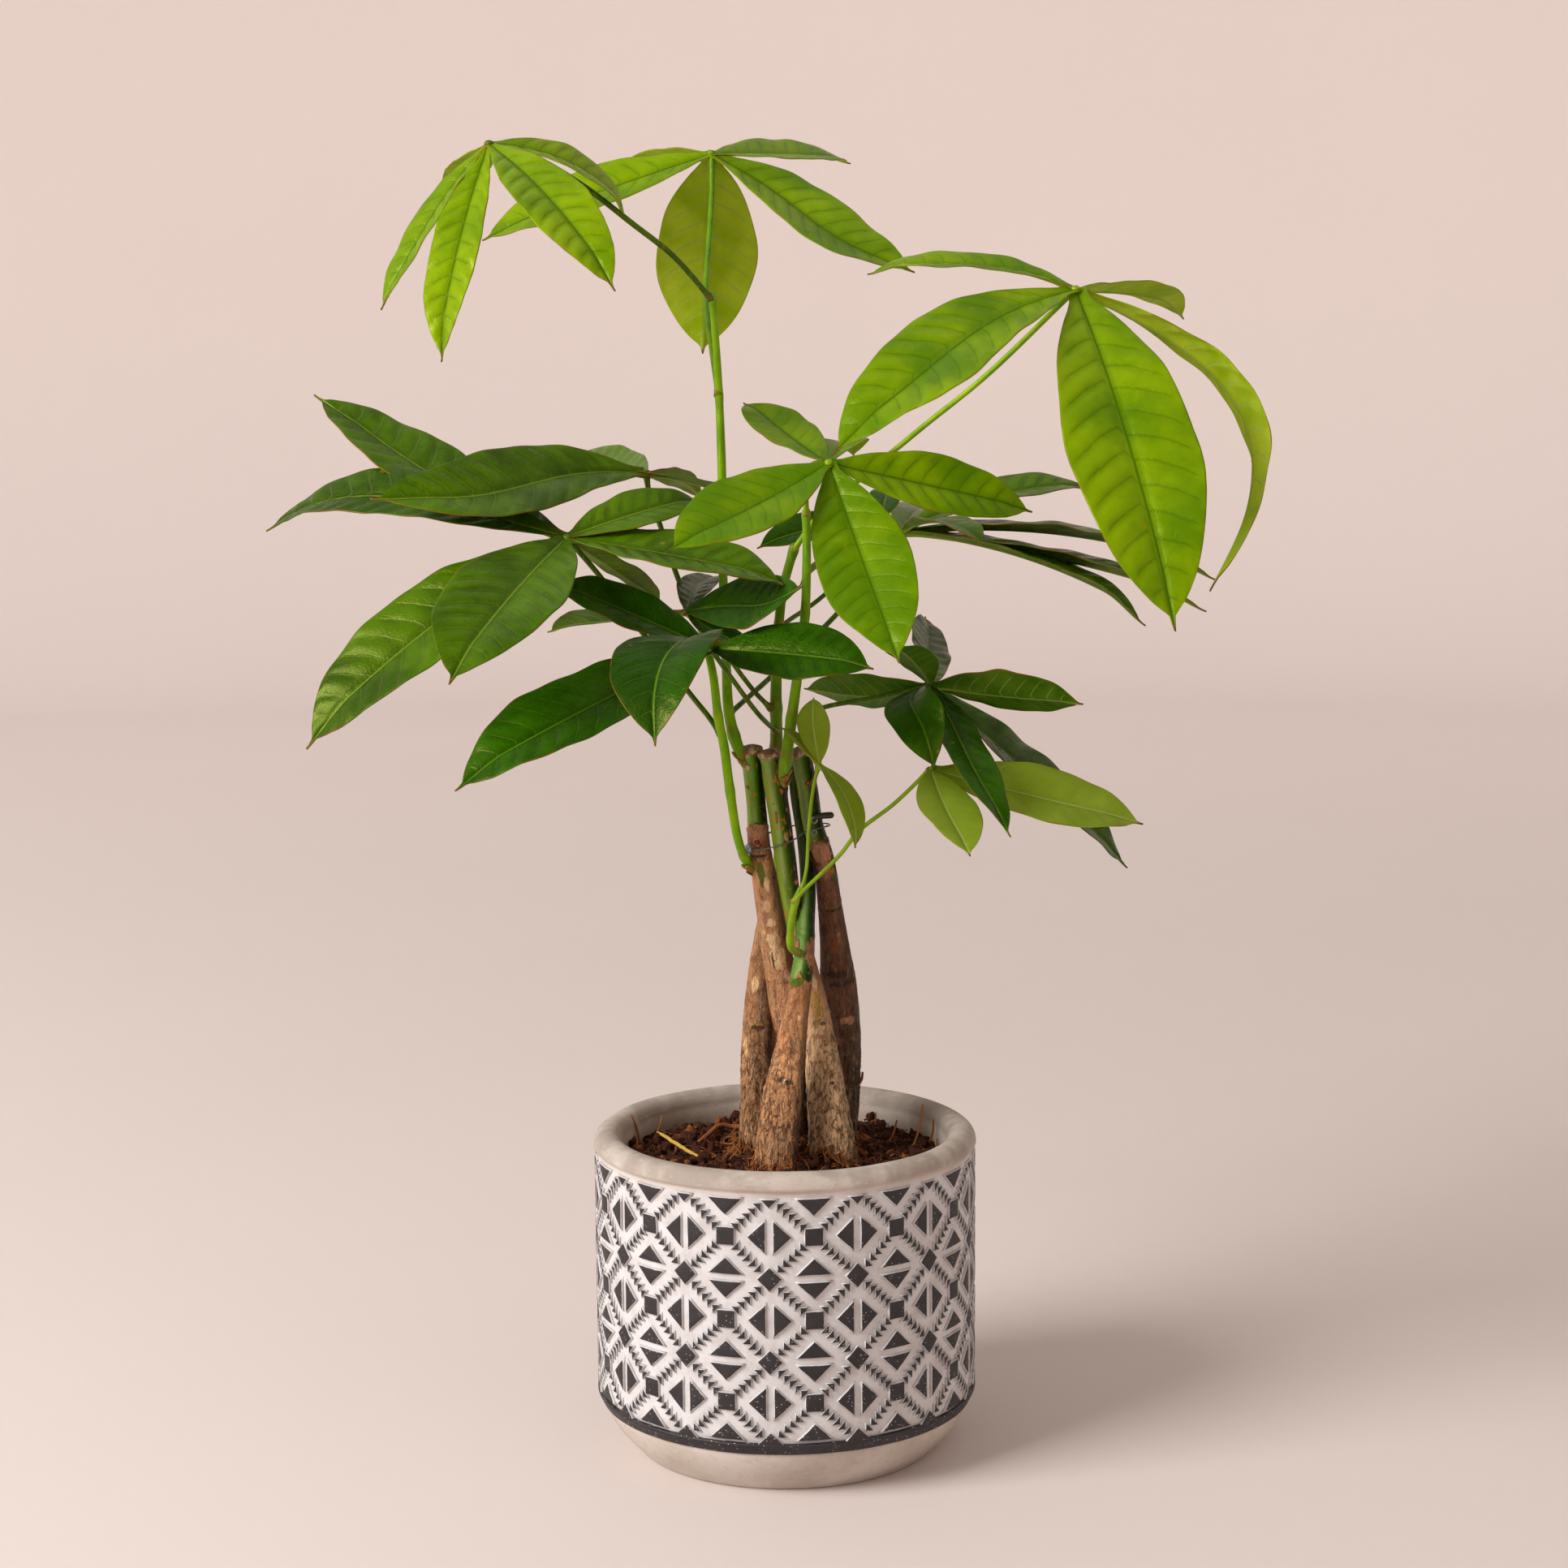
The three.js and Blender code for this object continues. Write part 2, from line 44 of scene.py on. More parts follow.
# Camera, from the photograph: distance and height in mm, angles in degrees, focal length in pixels.
CAMERA_DISTANCE, CAMERA_HEIGHT = 1150, 425
CAMERA_YAW, CAMERA_PITCH, CAMERA_ROLL = 0.04, 8.04, -0.45
FOCAL_PIXELS, FRAME_PIXELS = 3692, 1932
SENSOR_WIDTH = 36

# Pot, as in the solids
POT_RADIUS = 75
POT_HEIGHT = 127
WALL_RADIUS = 73.9
RIM_RADIUS = 69.5
RIM_HALF = 5.8
SOIL_TOP = 115
COLUMNS = 14
COLUMN_TURN = -4.7
PATTERN_BOTTOM = 39.3
PATTERN_PITCH = 32

# Sides of the round shapes, and rings along a trunk
POT_SIDES, SOIL_SIDES, TRUNK_SIDES, SHOOT_SIDES = 224, 300, 80, 20
TRUNK_RINGS = 380

# Ways of the tie, trunks and shoots in mm, as in the solids; a fourth number is the radius.
TIE = [
    [-8.5, -10, 238.5], [-3.5, -13.5, 240], [1, -15.2, 241.5], [5, -12.5, 243], [9, -5, 244.5],
    [14, -2.6, 245.5], [18.3, 1, 246], [17.3, 6, 246], [9, 11, 245], [1, 16, 243],
    [-4.5, 14, 241.5], [-9, 5, 240], [-13.6, -1, 239], [-13.4, -7, 238.5],
]
TRUNKS = {
    "trunk_front": [
        [-3, -26, 88, 5], [-3, -26, 106, 7.6], [-3.2, -26, 122, 8], [-0.4, -24, 146, 7.1],
        [2.8, -21, 164, 5.4], [5.2, -19, 180, 4.8], [8, -15, 197, 3.9], [9, -9, 210, 3.3],
        [9.8, -3, 222, 3], [8.8, 4, 238, 2.9], [6, 9, 258, 2.9], [5, 10, 272, 2.8],
    ],
    "trunk_middle": [
        [20, -13, 88, 5], [19, -12, 106, 7.6], [19, -11, 124, 8.2], [17, -8, 144, 6.8],
        [15, -5, 163, 5], [13, -4, 176, 4.2], [10, -4, 189, 3.8], [6, -5, 204, 3.8],
        [3, -8, 220, 3.8], [1, -10, 236, 4.1], [-1, -11, 252, 4.2], [-3, -12, 266, 4.3],
        [-4, -12, 278, 4.4],
    ],
    "trunk_left": [
        [2, 19, 88, 4.5], [1, 18, 106, 6.5], [1, 16, 124, 6.6], [0, 13, 146, 6.2],
        [0, 8, 168, 6], [-1, 4, 184, 5.8], [-3, 1, 198, 5.7], [-5, -2, 212, 5.3],
        [-7, -4, 226, 4.8], [-9, -5, 240, 4.2], [-10, -6, 256, 3.7], [-12, -8, 279, 4.1],
    ],
    "trunk_right": [
        [20, 13, 88, 4.8], [21, 13, 106, 6.8], [22, 12, 124, 6.8], [23, 12, 145, 7.1],
        [23, 11, 165, 7], [22, 10, 182, 6.6], [20, 8, 200, 5.5], [18, 5, 217, 4.6],
        [16, 3, 232, 4.2], [12, 2, 246, 4], [10, 2, 260, 4], [7, 2, 277, 3.9],
    ],
    "trunk_rear": [
        [-12, -3, 88, 4.5], [-12, -2, 106, 6.8], [-11, -1, 124, 6.9], [-11, 1, 142, 6.2],
        [-11, 4, 160, 5.6], [-10, 8, 178, 5], [-8, 10, 196, 4.2], [-5, 11, 212, 3.6],
        [-1, 12, 228, 3.1], [0, 12, 244, 3], [-1, 11, 262, 2.8],
    ],
}
SHOOTS = {
    "shoot_tall": [
        [-13, -8, 271, 1.8], [-17, -10, 279, 2.3], [-20, -9, 291, 2.1], [-21, -5, 310, 1.8],
        [-22, -2, 350, 1.7], [-22, -1, 384, 1.7], [-23, 0, 418, 1.5], [-25, 0, 451, 1.3],
    ],
    "shoot_left": [
        [-10, -5, 229, 1.2], [-14, -9, 234, 1.6], [-17, -13, 243, 1.7], [-20, -15, 263, 1.8],
        [-22, -17, 280, 1.8], [-24, -18, 291, 1.7], [-26, -17, 308, 1.6], [-31, -3, 326, 1.4],
    ],
    "shoot_middle": [
        [-1, 11, 256, 2], [-2, 8, 265, 2.2], [-2, 4, 274, 2.5], [-2, 2, 285, 2.4],
        [-2, 1, 299, 2.2], [-1, 0, 320, 1.9], [1, 0, 338, 1.8], [6, -2, 356, 1.7],
    ],
    "shoot_right": [
        [0, -13, 264, 1.9], [1, -17, 271, 2.4], [3, -18, 284, 2.2], [6, -17, 305, 1.9],
        [9, -15, 326, 1.8], [10, -13, 347, 1.7], [10, -14, 370, 1.5],
    ],
    "sprout_low": [
        [6, -17, 199, 1.1], [3, -24, 203, 1.4], [3, -27, 212, 1.4], [5, -28, 222, 1.2],
        [7, -28, 227, 1],
    ],
}

# Per leaf: its hub, the way of its stalk up to there, and its leaflets: turn, rise, length, width,
# bow and roll, in degrees and mm, the bow in shares of the length.
LEAVES = {
    "leaf_top_left": (
        [-105, -35, 504], [
            [-25, 0, 448], [-39, -6, 464], [-54, -14, 476], [-71, -24, 489], [-88, -32, 499],
        ],
        [
            [-159, -54, 73, 19, 0.04, -13], [106, -10, 81, 18, 0, -3], [-107, -56, 93, 21, 0.04, 7],
            [-53, -33, 97, 26, 0.06, 21], [21, -25, 60, 22, 0.13, 30],
        ],
    ),
    "leaf_top_back": (
        [-26, 70, 507],
        [[-23, -1, 412], [-26, 12, 433], [-28, 28, 450], [-27, 46, 471], [-26, 62, 491]],
        [
            [-176, -19, 98, 31, 0.01, -36], [133, -7, 64, 16, 0.04, 26], [99, -66, 86, 43, 0.06, 7],
            [-17, -29, 96, 38, -0.02, 24], [42, 1, 77, 26, 0.01, 22],
        ],
    ),
    "leaf_top_right": (
        [109, -38, 450],
        [[5, -2, 353], [16, -6, 368], [31, -12, 381], [55, -20, 401], [77, -28, 419]],
        [
            [167, 7, 79, 20, 0.07, -18], [-145, -26, 125, 42, 0.06, -21],
            [-72, -53, 147, 48, 0.07, 15], [-35, -62, 124, 28, 0.31, -46],
            [57, -5, 92, 21, 0.05, -10],
        ],
    ),
    "leaf_front": (
        [18, -55, 388], [[10, -14, 367], [10, -24, 378], [12, -42, 387]],
        [
            [121, 21, 65, 23, -0.02, -10], [-145, -21, 74, 34, -0.03, -29],
            [-71, -43, 94, 36, -0.04, 21], [10, -13, 79, 28, 0, 50], [78, 3, 50, 20, 0.1, 0],
        ],
    ),
    "leaf_left": (
        [-80, -25, 360], [
            [-23, -17, 284], [-28, -14, 291], [-33, -12, 297], [-50, -10, 319], [-69, -18, 346],
        ],
        [
            [143, 23, 142, 35, -0.05, -16], [156, 1, 135, 30, 0.11, -32],
            [-158, -35, 126, 43, 0.05, -28], [-113, -25, 102, 46, 0.03, -12],
            [-11, -10, 85, 35, 0.01, 19], [30, 13, 60, 25, 0.04, 27], [56, -25, 66, 18, 0, -2],
        ],
    ),
    "leaf_left_back": (
        [-52, 25, 382], [[-30, -5, 324], [-39, 12, 340], [-47, 20, 363], [-51, 24, 375]],
        [
            [-148, -2, 117, 42, 0.02, -33], [167, 0, 92, 28, 0.06, 0], [111, 6, 86, 23, -0.04, -20],
            [71, -10, 62, 13, 0.04, -22], [20, -18, 60, 22, 0.04, 0],
        ],
    ),
    "leaf_low_left": (
        [-26, -40, 319], [[-2, 0, 283], [-9, -16, 292], [-18, -28, 306]],
        [
            [172, 23, 66, 28, 0.01, -25], [-151, -22, 113, 40, 0.02, -23],
            [-104, -18, 82, 39, 0.21, 6], [-24, -3, 65, 29, 0.02, 41],
        ],
    ),
    "leaf_centre": (
        [-36, -15, 331], [[-4, 0, 292], [-10, -6, 299], [-15, -10, 306], [-25, -13, 320]],
        [
            [-36, 13, 55, 29, -0.07, 44], [-29, -25, 33, 13, -0.01, 19], [76, 10, 58, 16, 0.04, 5],
            [143, -7, 70, 23, 0, 16],
        ],
    ),
    "leaf_right": (
        [58, 5, 300], [[4, -18, 290], [10, -10, 291], [18, -2, 293], [31, 0, 295], [43, 3, 297]],
        [
            [88, 17, 75, 20, -0.01, 38], [-114, 24, 48, 20, 0.06, 0], [158, -2, 52, 25, -0.09, 39],
            [-91, -35, 48, 23, 0.23, 28], [-20, -4, 61, 29, -0.02, -39],
            [-69, -32, 88, 19, 0.03, -6], [9, -42, 109, 33, 0, 26],
        ],
    ),
    "leaf_low_small": (
        [14, -30, 274], [[7, -28, 225], [9, -29, 234], [10, -30, 250], [12, -30, 266]],
        [[98, 66, 27, 13, 0.05, 0], [-47, -55, 36, 13, 0.14, -2], [160, 45, 20, 12, 0, 0]],
    ),
    "leaf_low_right": (
        [56, -30, 272], [
            [4, -28, 221], [8, -30, 226], [14, -31, 232], [22, -31, 240], [29, -32, 249],
            [42, -32, 259],
        ],
        [[-2, -14, 83, 31, -0.01, 35], [-75, -27, 54, 24, 0.01, -4]],
    ),
    "leaf_right_back": (
        [50, 75, 356], [[-20, -8, 291], [-6, 14, 301], [7, 30, 311], [23, 47, 325], [37, 62, 340]],
        [
            [7, 13, 81, 28, 0.06, 18], [2, -8, 132, 32, 0.06, 0], [-17, -18, 108, 30, 0.06, 0],
            [-7, -13, 128, 28, 0.03, 0], [-59, -2, 58, 20, 0.1, 0], [167, -26, 50, 22, 0.06, 0],
            [75, 6, 62, 24, 0.06, 0],
        ],
    ),
    "leaf_centre_back": (
        [40, 40, 362], [[-1, 0, 323], [4, 8, 326], [11, 14, 330], [18, 20, 335], [27, 28, 343]],
        [[-157, -9, 54, 20, 0.05, -30], [-125, -38, 45, 16, 0.05, -15], [80, 25, 30, 14, 0.05, 0]],
    ),
}


# ---- Numbers, colours and noise


def srgb(code):
    """A colour written as "#RRGGBB", in linear light."""
    c = np.array([int(code[i : i + 2], 16) for i in (1, 3, 5)]) / 255
    return np.where(c <= 0.04045, c / 12.92, ((c + 0.055) / 1.055) ** 2.4)


def blend(color, tone, share):
    """Colours drawn towards a tone, each by its own share."""
    tone = srgb(tone) if isinstance(tone, str) else tone
    return color + (tone - color) * np.asarray(share)[..., None]


def smooth(x, low, high):
    """0 below low, 1 above high, and a soft step between them."""
    t = np.clip((x - low) / (high - low), 0, 1)
    return t * t * (3 - 2 * t)


def bell(x, width):
    """1 where x is 0, fading on both sides over about that width."""
    return np.exp(-((x / width) ** 2))


def unit(v):
    return v / np.maximum(np.linalg.norm(v, axis=-1, keepdims=True), 1e-9)


def stacked(*columns):
    """Numbers side by side along a new last axis, each spread to the shape they share."""
    return np.stack(np.broadcast_arrays(*columns), -1)


def circle(sides):
    return TAU * np.arange(sides) / sides


def polar(angle):
    return np.array([math.cos(angle), math.sin(angle)])


def spun(radius, angle, height):
    """Points round an upright axis; angle 0 faces the front."""
    return stacked(radius * np.sin(angle), -radius * np.cos(angle), height)


def lattice(i, j, k, seed):
    n = (i * 374761393 + j * 668265263 + k * 1440662683 + seed * 974711) & 0xFFFFFFFF
    n = ((n ^ (n >> 13)) * 1274126177) & 0xFFFFFFFF
    n = ((n ^ (n >> 15)) * 668265261) & 0xFFFFFFFF
    return (n ^ (n >> 16)) / 0xFFFFFFFF


def noise(points, scale, seed=0):
    """Smooth noise from -1 to 1, with bumps about as wide as scale (one number or three)."""
    q = np.asarray(points, float) / np.asarray(scale, float) + 512.5
    cell = np.floor(q).astype(np.int64)
    f = q - cell
    f = f * f * (3 - 2 * f)
    total = 0
    for corner in np.ndindex(2, 2, 2):
        x, y, z = (f[..., i] if corner[i] else 1 - f[..., i] for i in range(3))
        total = total + x * y * z * lattice(*np.moveaxis(cell + corner, -1, 0), seed)
    return total * 2 - 1


def cloud(points, scale, seed=0, octaves=3):
    """Noise in several sizes, each half as wide and half as strong as the one before."""
    scale = np.asarray(scale, float)
    total = sum(noise(points, scale / 2**i, seed + 7 * i) / 2**i for i in range(octaves))
    return total / (2 - 2 ** (1 - octaves))


# ---- Curves and closed shells


def distances(path):
    """How far along the path each of its points lies."""
    return np.concatenate([[0], np.cumsum(np.linalg.norm(np.diff(path[:, :3], axis=0), axis=1))])


def curve(points, count, closed=False):
    """Evenly spaced places along the smooth curve of the solids; further columns follow along."""
    p = np.array(points, float)
    before = p[-1:] if closed else 2 * p[:1] - p[1:2]
    after = p[:2] if closed else 2 * p[-1:] - p[-2:-1]
    p = np.concatenate([before, p, after])
    spans = len(p) - 3
    rows = []
    for t in np.linspace(0, spans, spans * 24 + 1):
        i = min(int(t), spans - 1)
        w = t - i
        a, b, c, d = p[i : i + 4, :3]
        d0, d1, d2 = (math.sqrt(np.linalg.norm(step)) for step in (b - a, c - b, d - c))
        m1 = ((b - a) / d0 - (c - a) / (d0 + d1) + (c - b) / d1) * d1
        m2 = ((c - b) / d1 - (d - b) / (d1 + d2) + (d - c) / d2) * d1
        at = b + m1 * w + (3 * (c - b) - 2 * m1 - m2) * w**2 + (2 * (b - c) + m1 + m2) * w**3
        rows.append([*at, *(p[i + 1, 3:] + (p[i + 2, 3:] - p[i + 1, 3:]) * w)])
    rows = np.array(rows)
    run = distances(rows)
    even = np.linspace(0, run[-1], count)
    return np.stack([np.interp(even, run, column) for column in rows.T], 1)


def ring_frames(path, start=(1, 0, 0), closed=False):
    """Two directions across a path at each of its points, turning as little as they can."""
    ahead = np.roll(path, -1, 0) - np.roll(path, 1, 0) if closed else np.gradient(path, axis=0)
    ahead = unit(ahead)
    e = np.array(start, float)
    first = []
    for row in ahead:
        e = e - row * np.dot(e, row)
        e = e / np.linalg.norm(e)
        first.append(e)
    return np.array(first), np.cross(ahead, first)


def grid_faces(rows, columns, around=False, closed=False, turned=False, start=0):
    """Quads between the points of a grid that is stored row by row."""
    i, j = np.indices((rows if closed else rows - 1, columns if around else columns - 1))
    up, side = (i + 1) % rows * columns, (j + 1) % columns
    quads = stacked(i * columns + j, i * columns + side, up + side, up + j).reshape(-1, 4) + start
    return quads[:, ::-1] if turned else quads


def skin(rings, ends=(), turned=False):
    """A shell over rows of points that closes at two end points or, without them, on itself."""
    rows, sides = rings.shape[:2]
    points = rings.reshape(-1, 3)
    faces = [grid_faces(rows, sides, around=True, closed=len(ends) == 0, turned=turned)]
    if len(ends):
        n, j = len(points), np.arange(sides)
        k = (j + 1) % sides
        faces += [stacked(n, k, j), stacked(n + 1, n - sides + j, n - sides + k)]
        points = np.concatenate([points, ends])
    return points, faces


def tube(path, radius, sides, start=(1, 0, 0)):
    """A closed tube. Its angle 0 faces the front; radius is a number per ring or per point."""
    e1, e2 = (e[:, None] for e in ring_frames(path, start))
    angle = (circle(sides) - math.pi)[:, None]
    radius = np.asarray(radius, float).reshape(len(path), -1, 1)
    return skin(path[:, None] + (e1 * np.sin(angle) - e2 * np.cos(angle)) * radius, path[[0, -1]])


def blob(size, seed, rough=0.25, rows=6, columns=9):
    """A small rough lump round the origin, size in x, y and z."""
    u = np.linspace(0, math.pi, rows + 1)[1:-1, None]
    v = circle(columns)
    rings = stacked(np.sin(u) * np.cos(v), np.sin(u) * np.sin(v), -np.cos(u))
    points, faces = skin(rings, [[0, 0, -1], [0, 0, 1]])
    points = points * (1 + rough * noise(points + seed * 3.7, 0.8, seed))[:, None]
    return points * np.array(size), faces


def placed(name, data):
    thing = bpy.data.objects.new(name, data)
    bpy.context.scene.collection.objects.link(thing)
    return thing


class Piece:
    """Gathers closed shells, in millimetres, that make one piece of the scene."""

    def __init__(self, name):
        self.name = name
        self.points, self.faces, self.kinds, self.fields = [], [], [], {}
        self.count = 0

    def add(self, points, faces, kind=0, **fields):
        """Adds a shell. Its kind is the number of its material, or one for each list of faces."""
        kinds = kind if isinstance(kind, list) else [kind] * len(faces)
        self.faces += [part + self.count for part in faces]
        self.kinds += [np.full(len(part), each) for part, each in zip(faces, kinds)]
        for key in {**self.fields, **fields}:
            rows = self.fields.setdefault(key, [np.zeros((self.count, 3))])
            rows.append(np.broadcast_to(fields.get(key, 0), (len(points), 3)))
        self.points.append(points)
        self.count += len(points)

    def thing(self, materials):
        """The finished object."""
        mesh = bpy.data.meshes.new(self.name)
        faces = [face for part in self.faces for face in part.tolist()]
        mesh.from_pydata(np.concatenate(self.points) * MM, [], faces, shade_flat=False)
        mesh.polygons.foreach_set("material_index", np.concatenate(self.kinds).astype(np.int32))
        for key, rows in self.fields.items():
            layer = mesh.attributes.new(key, "FLOAT_VECTOR", "POINT")
            layer.data.foreach_set("vector", np.concatenate(rows).ravel())
        mesh.validate()
        for material in materials:
            mesh.materials.append(material)
        return placed(self.name, mesh)

    def build(self, materials, slot, *nodes):
        """Puts the piece on the part's body, in place of the solids that it dresses."""
        thing = self.thing(materials)
        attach(thing, "root")
        if nodes:
            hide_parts(*nodes)


# ---- Materials


class Value:
    """What a node gives. Sums, products and mixes of values make further nodes."""

    def __init__(self, graph, socket):
        self.graph, self.socket = graph, socket

    def __add__(self, other):
        return self.graph.math("ADD", self, other)

    def __sub__(self, other):
        return self.graph.math("SUBTRACT", self, other)

    def __rsub__(self, other):
        return self.graph.math("SUBTRACT", other, self)

    def __mul__(self, other):
        return self.graph.math("MULTIPLY", self, other)

    def __abs__(self):
        return self.graph.math("ABSOLUTE", self)

    def band(self, low, high, start=0.0, end=1.0):
        """A soft ramp from start, where the value is low, to end, where it is high."""
        inputs = {0: self, 1: low, 2: high, 3: start, 4: end}
        return self.graph.node("ShaderNodeMapRange", 0, inputs, interpolation_type="SMOOTHSTEP")

    def near(self, low, high):
        """1 below low and 0 above high."""
        return self.band(low, high, 1.0, 0.0)

    def to(self, tone, share, blend="MIX"):
        """This colour drawn towards a tone."""
        return self.graph.mix(share, self, tone, blend)


class Graph:
    """Builds one material's nodes from numbers, colours and values."""

    def __init__(self, name):
        self.material = bpy.data.materials.new(name)
        self.material.use_nodes = True
        self.tree = self.material.node_tree
        self.tree.nodes.clear()
        self.places = self.node("ShaderNodeTexCoord", 3)

    def put(self, socket, value):
        if isinstance(value, Value):
            self.tree.links.new(value.socket, socket)
        elif isinstance(value, str):
            socket.default_value = (*srgb(value), 1)
        elif isinstance(value, tuple) and len(socket.default_value) == 4:
            socket.default_value = (*value, 1)
        else:
            socket.default_value = value

    def node(self, kind, output=0, inputs=None, **settings):
        made = self.tree.nodes.new(kind)
        for key, value in settings.items():
            setattr(made, key, value)
        for key, value in (inputs or {}).items():
            self.put(made.inputs[key], value)
        return Value(self, made.outputs[output])

    def math(self, operation, *values):
        return self.node("ShaderNodeMath", 0, dict(enumerate(values)), operation=operation)

    def mix(self, share, a, b, blend="MIX"):
        inputs = {0: share, 6: a, 7: b}
        return self.node("ShaderNodeMix", 2, inputs, data_type="RGBA", blend_type=blend)

    def texture(self, kind, inputs, stretch, **settings):
        places = self.places
        if stretch:
            places = self.node("ShaderNodeMapping", 0, {0: places, 3: stretch})
        return self.node(kind, 0, {"Vector": places, **inputs}, **settings)

    def noise(self, scale, detail=3.0, rough=0.55, stretch=None):
        inputs = {"Scale": scale, "Detail": detail, "Roughness": rough}
        return self.texture("ShaderNodeTexNoise", inputs, stretch)

    def cells(self, scale, feature="F1", stretch=None):
        return self.texture("ShaderNodeTexVoronoi", {"Scale": scale}, stretch, feature=feature)

    def painted(self, name, output=0):
        """The colour that a piece's points hold under this name, or as output 1 the vector."""
        settings = {"attribute_name": name, "attribute_type": "GEOMETRY"}
        return self.node("ShaderNodeAttribute", output, **settings)

    def field(self, name):
        """The three numbers that a piece's points hold under this name."""
        first = self.node("ShaderNodeSeparateXYZ", 0, {0: self.painted(name, 1)})
        return [Value(self, socket) for socket in first.socket.node.outputs]

    def bump(self, height, distance, strength=1.0):
        inputs = {"Height": height, "Distance": distance, "Strength": strength}
        return self.node("ShaderNodeBump", 0, inputs)

    def surface(self, color, roughness, normal=None, glow=None, share=0.0, **inputs):
        """Finishes the material; a share of its light comes through in the colour of glow."""
        wanted = {"Base Color": color, "Roughness": roughness, **inputs}
        if normal:
            wanted["Normal"] = normal
        made = self.node("ShaderNodeBsdfPrincipled", 0, wanted)
        if glow:
            through = self.node("ShaderNodeBsdfTranslucent", 0, {"Color": glow})
            made = self.node("ShaderNodeMixShader", 0, {0: share, 1: made, 2: through})
        self.put(self.tree.nodes.new("ShaderNodeOutputMaterial").inputs[0], made)
        return self.material

# Kinds of leaf: colours fresh, deep, crease (painted shade, partly a deeper green), vein,
# underside and light let through, then width of the fine veins, strength of the painted
# crease shade, strength of the veins, roughness, spots, glow.
LEAF_KINDS = {
    "light": (
        ["#8CA801", "#547A01", "#4E7401", "#3C6002", "#B4C630", "#BAD404"],
        [0.09, 0.42, 0.24, 0.27, 0.5, 0.34],
    ),
    "dark": (
        ["#507401", "#284601", "#1A3001", "#748E22", "#708628", "#608C02"],
        [0.05, 0.55, 0.25, 0.27, 0.3, 0.2],
    ),
    "deep": (
        ["#326201", "#163C01", "#0A2601", "#5C8216", "#5C7C18", "#427E02"],
        [0.05, 0.5, 0.2, 0.26, 0.3, 0.2],
    ),
    "pale": (
        ["#98AC38", "#76901C", "#6C8618", "#BAC868", "#BECA70", "#B8CC32"],
        [0.05, 0.3, 0.3, 0.4, 0.3, 0.35],
    ),
}
# Stalks and shoots: green, deep green and the red of the side that faces down.
STEM_TONES = {
    "stalk_light": ("#7EA006", "#628A04", "#96601E"),
    "stalk_green": ("#548004", "#406C03", "#6E6414"),
    "stalk_dark": ("#3A5C04", "#244403", "#6E4216"),
    "stalk_pale": ("#7E9C1A", "#668A10", "#966828"),
    "shoot_tall_green": ("#749C02", "#548602", "#8C5032"),
    "shoot_left_green": ("#7AA604", "#5C9203", "#8C5032"),
    "shoot_middle_green": ("#587E04", "#3E6603", "#8C5032"),
    "shoot_right_green": ("#688E06", "#4E7804", "#8C5032"),
    "sprout_low_green": ("#74980E", "#5C8408", "#8C5032"),
}
LEAF_SHEEN = (0.9, 1.0, 0.16)  # young leaf wax: its soft shine is green, not grey


def leaf_material(kind):
    """leaf_a: mm to the midrib, mm to the margin, count of lateral veins so far.
    leaf_b: share of the length, 1 on the upper face, tint."""
    colors, (fine, crease_shade, line, gloss, spots, share) = LEAF_KINDS[kind]
    fresh, deep, crease, vein, under, glow = colors
    g = Graph("leaf_" + kind)
    rib, margin, count = g.field("leaf_a")
    along, top, tint = g.field("leaf_b")
    off = 0.5 - abs(g.math("FRACT", g.noise(120) * 0.24 + count) - 0.5)
    fade = margin.band(0.8, 5.0)
    lateral = off.near(0.0, fine) * fade
    valley = off.near(0.0, 0.36) * fade * g.noise(75).band(0.34, 0.64, 0.15, 1.0)
    midrib = rib.near(0.2, 0.65)
    hollow = g.math("MAXIMUM", valley, rib.near(0.0, 3.4))
    veins = g.math("MAXIMUM", lateral, midrib)
    net = g.cells(620, "DISTANCE_TO_EDGE").near(0.02, 0.12)
    body = g.mix(g.noise(34, 4.0, 0.6).band(0.3, 0.7) + tint, fresh, deep)
    # Painted shade, partly a deeper green of the leaf: the crease colour in the hollows by the
    # veins.
    body = body.to(deep, g.noise(240) * 0.18).to(crease, hollow * crease_shade)
    # On the light kinds the dark vein colour, also used on the midrib, is partly painted groove
    # shade.
    body = body.to(vein, net * 0.06).to(vein, lateral * line)
    speck = g.cells(95).near(0.05, 0.13) * g.noise(22).band(0.55, 0.62)
    body = body.to("#B29614", speck * spots).to(vein, midrib * 0.75)
    back = g.mix(g.noise(60).band(0.3, 0.7), under, fresh).to("#A5BA5A", veins * 0.55)
    burnt = margin.near(0.12, 0.42) * g.noise(90).band(0.42, 0.6)
    color = g.mix(top, back, body).to("#84461C", burnt * 0.8)
    color = color.to("#704E28", along.band(0.965, 0.995))
    height = veins * -0.6 + g.noise(420, 2.0) + net * -0.25
    shine = g.noise(70).band(0.3, 0.7, gloss - 0.07, gloss + 0.1) + (1.0 - top) * 0.34
    through = g.mix(veins * 0.6, glow, deep)
    wax = {"IOR": 1.38, "Specular Tint": LEAF_SHEEN}
    return g.surface(color, shine, g.bump(height, 0.0002, 0.55), through, share, **wax)


def stem_material(name):
    """stem_a: 1 where it faces down, brownness."""
    green, deep, red = STEM_TONES[name]
    g = Graph(name)
    below, brown, _ = g.field("stem_a")
    streak = g.noise(900, 3.0, 0.6, stretch=(1, 1, 0.12))
    color = g.mix(g.noise(90, 4.0).band(0.35, 0.65), green, deep)
    color = color.to("#AABE50", streak.band(0.5, 0.75) * 0.25).to(red, below.band(0.6, 0.95) * 0.6)
    scurf = g.mix(g.noise(1100), "#9E643E", "#683A22")
    color = color.to(scurf, brown * g.noise(700).band(0.3, 0.6, 0.6, 1.0))
    shine = g.noise(300).band(0.3, 0.7, 0.35, 0.5)
    return g.surface(color, shine, g.bump(streak, 0.00015, 0.5), **{"Specular Tint": LEAF_SHEEN})


